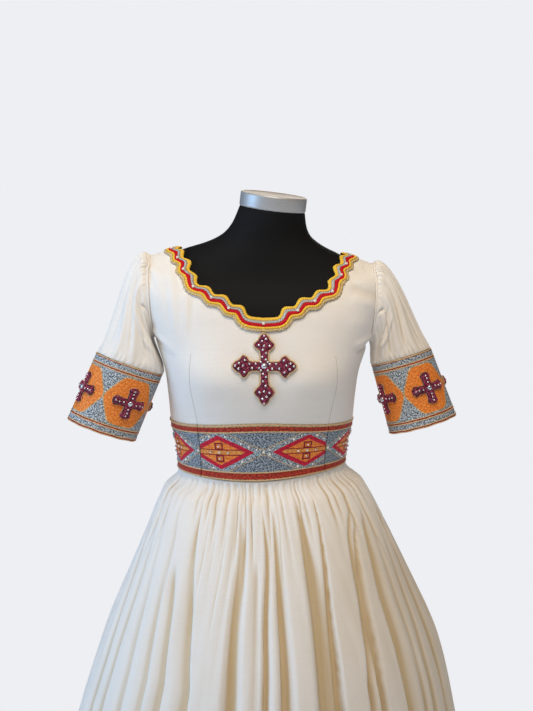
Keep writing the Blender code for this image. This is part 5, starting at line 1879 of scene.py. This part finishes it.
def soft_light(name, energy, colour, place, aim, size):
    data = bpy.data.lights.new(name, "AREA")
    data.energy, data.color, data.size = energy, colour, size
    lamp = bpy.data.objects.new(name, data)
    lamp.location = place
    lamp.rotation_euler = (Vector(aim) - Vector(place)).to_track_quat("-Z", "Y").to_euler()
    bpy.context.scene.collection.objects.link(lamp)


def surroundings(colour, strength):
    """A plain pale world that lights the piece less than it shows."""
    world = bpy.data.worlds.new("pale_surroundings")
    world.use_nodes = True
    tree = world.node_tree
    shown = tree.nodes["Background"]
    shown.inputs["Color"].default_value = (*colour, 1)
    cast = tree.nodes.new("ShaderNodeBackground")
    cast.inputs["Color"].default_value = (0.86, 0.90, 1.0, 1)
    cast.inputs["Strength"].default_value = strength
    path = tree.nodes.new("ShaderNodeLightPath")
    mixed = tree.nodes.new("ShaderNodeMixShader")
    tree.links.new(path.outputs["Is Camera Ray"], mixed.inputs[0])
    tree.links.new(cast.outputs[0], mixed.inputs[1])
    tree.links.new(shown.outputs[0], mixed.inputs[2])
    tree.links.new(mixed.outputs[0], tree.nodes["World Output"].inputs["Surface"])
    bpy.context.scene.world = world


# The lights beside their powers: colour, place, aim and size.
LIGHTS = {
    "top": ((1.0, 0.87, 0.71), (0.0, -1.05, 3.3), (0, 0, 1.1), 1.4),
    "window": ((0.40, 0.66, 1.0), (-3.0, -0.8, 1.9), (0, 0, 1.15), 1.6),
    "behind": ((1.0, 0.96, 0.90), (0.5, 2.9, 1.9), (0, 0, 1.0), 1.6),
}
FLOOR_LEVEL, FLOOR_RADII = -0.0002, (0.001, 0.5, 1, 2, 4, 7)
CAMERA_PLACE = (-0.0471, -1.7994, 1.49)
CAMERA_TIP, CAMERA_TURN = math.radians(81.8), math.radians(-1.5)


def build_stage(settings):
    scene = bpy.context.scene
    background = paint("EEEFF3")
    surroundings(background, settings.surroundings)
    grid = round_rings([(radius, FLOOR_LEVEL) for radius in FLOOR_RADII], 64)
    mesh = joined_mesh("studio_floor", [(grid, grid[..., :2].copy())], (0, 0, -5))
    mesh.materials.append(floor_finish(background))
    floor = bpy.data.objects.new("studio_floor", mesh)
    scene.collection.objects.link(floor)
    for name, light in LIGHTS.items():
        soft_light(name, getattr(settings, name), *light)
    data = bpy.data.cameras.new("front")
    data.sensor_fit, data.sensor_height = "VERTICAL", 24
    data.lens, data.shift_x = settings.lens, 4.8 / 711
    camera = bpy.data.objects.new("front", data)
    camera.location = CAMERA_PLACE
    camera.rotation_euler = (CAMERA_TIP, 0, CAMERA_TURN)
    scene.collection.objects.link(camera)
    scene.camera = camera
    scene.view_settings.view_transform = "Standard"


# ---- looks and settings

LOOKS = {
    "handwoven_cotton": cotton_finish,
    "waistband_embroidery": waistband_finish,
    "cuff_embroidery": cuff_finish,
    "braided_trim": trim_finish,
    "gold_thread": thread_finish,
    "knit_cover": cover_finish,
    "satin_cap": cap_finish,
    "brushed_steel": steel_finish,
    "painted_iron": iron_finish,
}
# Small things that only vary in tint, and the constants of their shader.
TINTED = {
    "cotton_thread": {"Roughness": 0.8},
    "bead_pad": {"Roughness": 0.7},
    "crimson_bead": {"Roughness": 0.22, "Coat_Weight": 0.4},
    "silver_bead": {"Roughness": 0.2, "Metallic": 0.85},
    "turquoise_bead": {"Roughness": 0.25},
    "pearl_bead": {"Roughness": 0.25, "Coat_Weight": 0.5},
    "clear_stone": {"Roughness": 0.08, "Metallic": 0.7},
}
CROSS_LOOKS = ("bead_pad", "crimson_bead", "gold_thread", "silver_bead", "clear_stone")


def look(name):
    """A finish by its name, made when it is first asked for."""
    made = bpy.data.materials.get(name)
    if made:
        return made
    return LOOKS[name]() if name in LOOKS else tinted_finish(name, **TINTED[name])


def power(name, default):
    described = f"Power of the light: {name.lower()}"
    return FloatProperty(name=name, description=described, default=default, min=0, unit="POWER")


def metres(size):
    """A size as it was typed, without the digits that the panel's storage adds."""
    return round(size, 6)


def length(name, description, default):
    return FloatProperty(name=name, description=description, default=default, min=0, precision=5, unit="LENGTH")


def colour_choices():
    """A light and a dark property for each colour."""
    made = {}
    for name, (use, *codes) in COLOURS.items():
        for shade, code in zip(("light", "dark"), codes):
            title = f"{name} {shade}".replace("_", " ").title()
            described = f"{use}: its {shade} shade"
            start = paint(code)
            made[f"{name}_{shade}"] = FloatVectorProperty(
                name=title, description=described, default=start, min=0, max=1, subtype="COLOR"
            )
    return made


class KemisColours(bpy.types.PropertyGroup):
    """Colours of the cloth, the threads, the beads and the form."""

    __annotations__ = colour_choices()


class KemisSizes(bpy.types.PropertyGroup):
    """Sizes of what is sewn over the cloth."""

    band_cord: length("Waistband Cord", "Radius of the gold cords along the waistband", 0.0008)
    cuff_cord: length("Cuff Cord", "Radius of the gold cords round the cuffs", 0.00065)
    pearl: length("Neck Pearl", "Radius of the pearls along the neck", 0.0026)
    chest_bead: length("Chest Bead", "Radius of the small beads on the chest's cross", 0.00108)
    cuff_bead: length("Cuff Bead", "Radius of the small beads on the cuffs' crosses", 0.00105)


class KemisStage(bpy.types.PropertyGroup):
    """Light and lens of the studio."""

    top: power("Warm, Above", 51.0)
    window: power("Cool, From the Side", 58.0)
    behind: power("Behind", 26.0)
    surroundings: FloatProperty(name="Surroundings", description="Light from all round", default=0.03, min=0)
    lens: FloatProperty(name="Lens", description="Focal length in millimetres", default=36.456, min=10, max=200)


class KEMIS_OT_form(bpy.types.Operator):
    """Cover the form and its cap, and finish the stand"""

    bl_idname = "kemis.form"
    bl_label = "Form and Stand"
    bl_options = {"REGISTER", "UNDO"}

    def execute(self, context):
        sew_torso(look("knit_cover"))
        sew_cap(look("satin_cap"))
        build_stand(look("brushed_steel"), look("painted_iron"))
        return {"FINISHED"}


class KEMIS_OT_bodice(bpy.types.Operator):
    """Sew the front and the two backs"""

    bl_idname = "kemis.bodice"
    bl_label = "Bodice"
    bl_options = {"REGISTER", "UNDO"}

    def execute(self, context):
        sew_bodice(look("handwoven_cotton"))
        sew_darts(look("cotton_thread"))
        return {"FINISHED"}


class KEMIS_OT_neck(bpy.types.Operator):
    """Lay the scalloped trim along the neck, with its sequins and pearls"""

    bl_idname = "kemis.neck"
    bl_label = "Neck Trim"
    bl_options = {"REGISTER", "UNDO"}

    def execute(self, context):
        sew_neck_trim(look("braided_trim"))
        pearl = metres(context.scene.kemis_sizes.pearl)
        sew_trim_beads(pearl, look("silver_bead"), look("pearl_bead"))
        return {"FINISHED"}


class KEMIS_OT_chest_cross(bpy.types.Operator):
    """Sew the beaded cross on the chest"""

    bl_idname = "kemis.chest_cross"
    bl_label = "Chest Cross"
    bl_options = {"REGISTER", "UNDO"}

    def execute(self, context):
        bead = metres(context.scene.kemis_sizes.chest_bead)
        sew_chest_cross(bead, *[look(name) for name in CROSS_LOOKS])
        return {"FINISHED"}


class KEMIS_OT_waistband(bpy.types.Operator):
    """Sew the embroidered waistband with its cords and beads"""

    bl_idname = "kemis.waistband"
    bl_label = "Waistband"
    bl_options = {"REGISTER", "UNDO"}

    def execute(self, context):
        cord = metres(context.scene.kemis_sizes.band_cord)
        sew_waistband(cord, look("waistband_embroidery"), look("gold_thread"))
        sew_waistband_beads({kind: look(f"{kind}_bead") for kind in ("silver", "turquoise", "pearl")})
        return {"FINISHED"}


class KEMIS_OT_sleeves(bpy.types.Operator):
    """Gather the sleeves into the armholes and the cuffs"""

    bl_idname = "kemis.sleeves"
    bl_label = "Sleeves"
    bl_options = {"REGISTER", "UNDO"}

    def execute(self, context):
        cord = metres(context.scene.kemis_sizes.cuff_cord)
        sew_cuffs(cord, look("cuff_embroidery"), look("gold_thread"))
        sew_sleeves(look("handwoven_cotton"))
        return {"FINISHED"}


class KEMIS_OT_cuff_crosses(bpy.types.Operator):
    """Sew the beaded crosses on the cuffs"""

    bl_idname = "kemis.cuff_crosses"
    bl_label = "Cuff Crosses"
    bl_options = {"REGISTER", "UNDO"}

    def execute(self, context):
        bead = metres(context.scene.kemis_sizes.cuff_bead)
        sew_cuff_crosses(bead, *[look(name) for name in CROSS_LOOKS])
        return {"FINISHED"}


class KEMIS_OT_skirt(bpy.types.Operator):
    """Gather the skirt into the waist"""

    bl_idname = "kemis.skirt"
    bl_label = "Skirt"
    bl_options = {"REGISTER", "UNDO"}

    def execute(self, context):
        sew_skirt(look("handwoven_cotton"))
        return {"FINISHED"}


class KEMIS_OT_stage(bpy.types.Operator):
    """Set up the pale studio, its lights and its camera"""

    bl_idname = "kemis.stage"
    bl_label = "Studio"
    bl_options = {"REGISTER", "UNDO"}

    def execute(self, context):
        build_stage(context.scene.kemis_stage)
        return {"FINISHED"}


STEPS = (
    KEMIS_OT_form,
    KEMIS_OT_bodice,
    KEMIS_OT_neck,
    KEMIS_OT_chest_cross,
    KEMIS_OT_waistband,
    KEMIS_OT_sleeves,
    KEMIS_OT_cuff_crosses,
    KEMIS_OT_skirt,
    KEMIS_OT_stage,
)


class KEMIS_PT_sidebar(bpy.types.Panel):
    """Buttons for each step, and the studio's settings"""

    bl_label = "Habesha Kemis"
    bl_space_type = "VIEW_3D"
    bl_region_type = "UI"
    bl_category = "Kemis"

    def draw(self, context):
        column = self.layout.column(align=True)
        for step in STEPS:
            column.operator(step.bl_idname)
        for group in GROUPS:
            box = self.layout.box()
            settings = getattr(context.scene, group)
            for name in settings.bl_rna.properties.keys():
                if name not in ("rna_type", "name"):
                    box.prop(settings, name)


GROUPS = {"kemis_sizes": KemisSizes, "kemis_colours": KemisColours, "kemis_stage": KemisStage}
CLASSES = (*GROUPS.values(), *STEPS, KEMIS_PT_sidebar)


def register():
    for kind in CLASSES:
        bpy.utils.register_class(kind)
    for name, kind in GROUPS.items():
        setattr(bpy.types.Scene, name, PointerProperty(type=kind))


def unregister():
    for name in GROUPS:
        delattr(bpy.types.Scene, name)
    for kind in reversed(CLASSES):
        bpy.utils.unregister_class(kind)


def main():
    register()
    for step in STEPS:
        area, name = step.bl_idname.split(".")
        getattr(getattr(bpy.ops, area), name)()


if __name__ == "__main__":
    main()
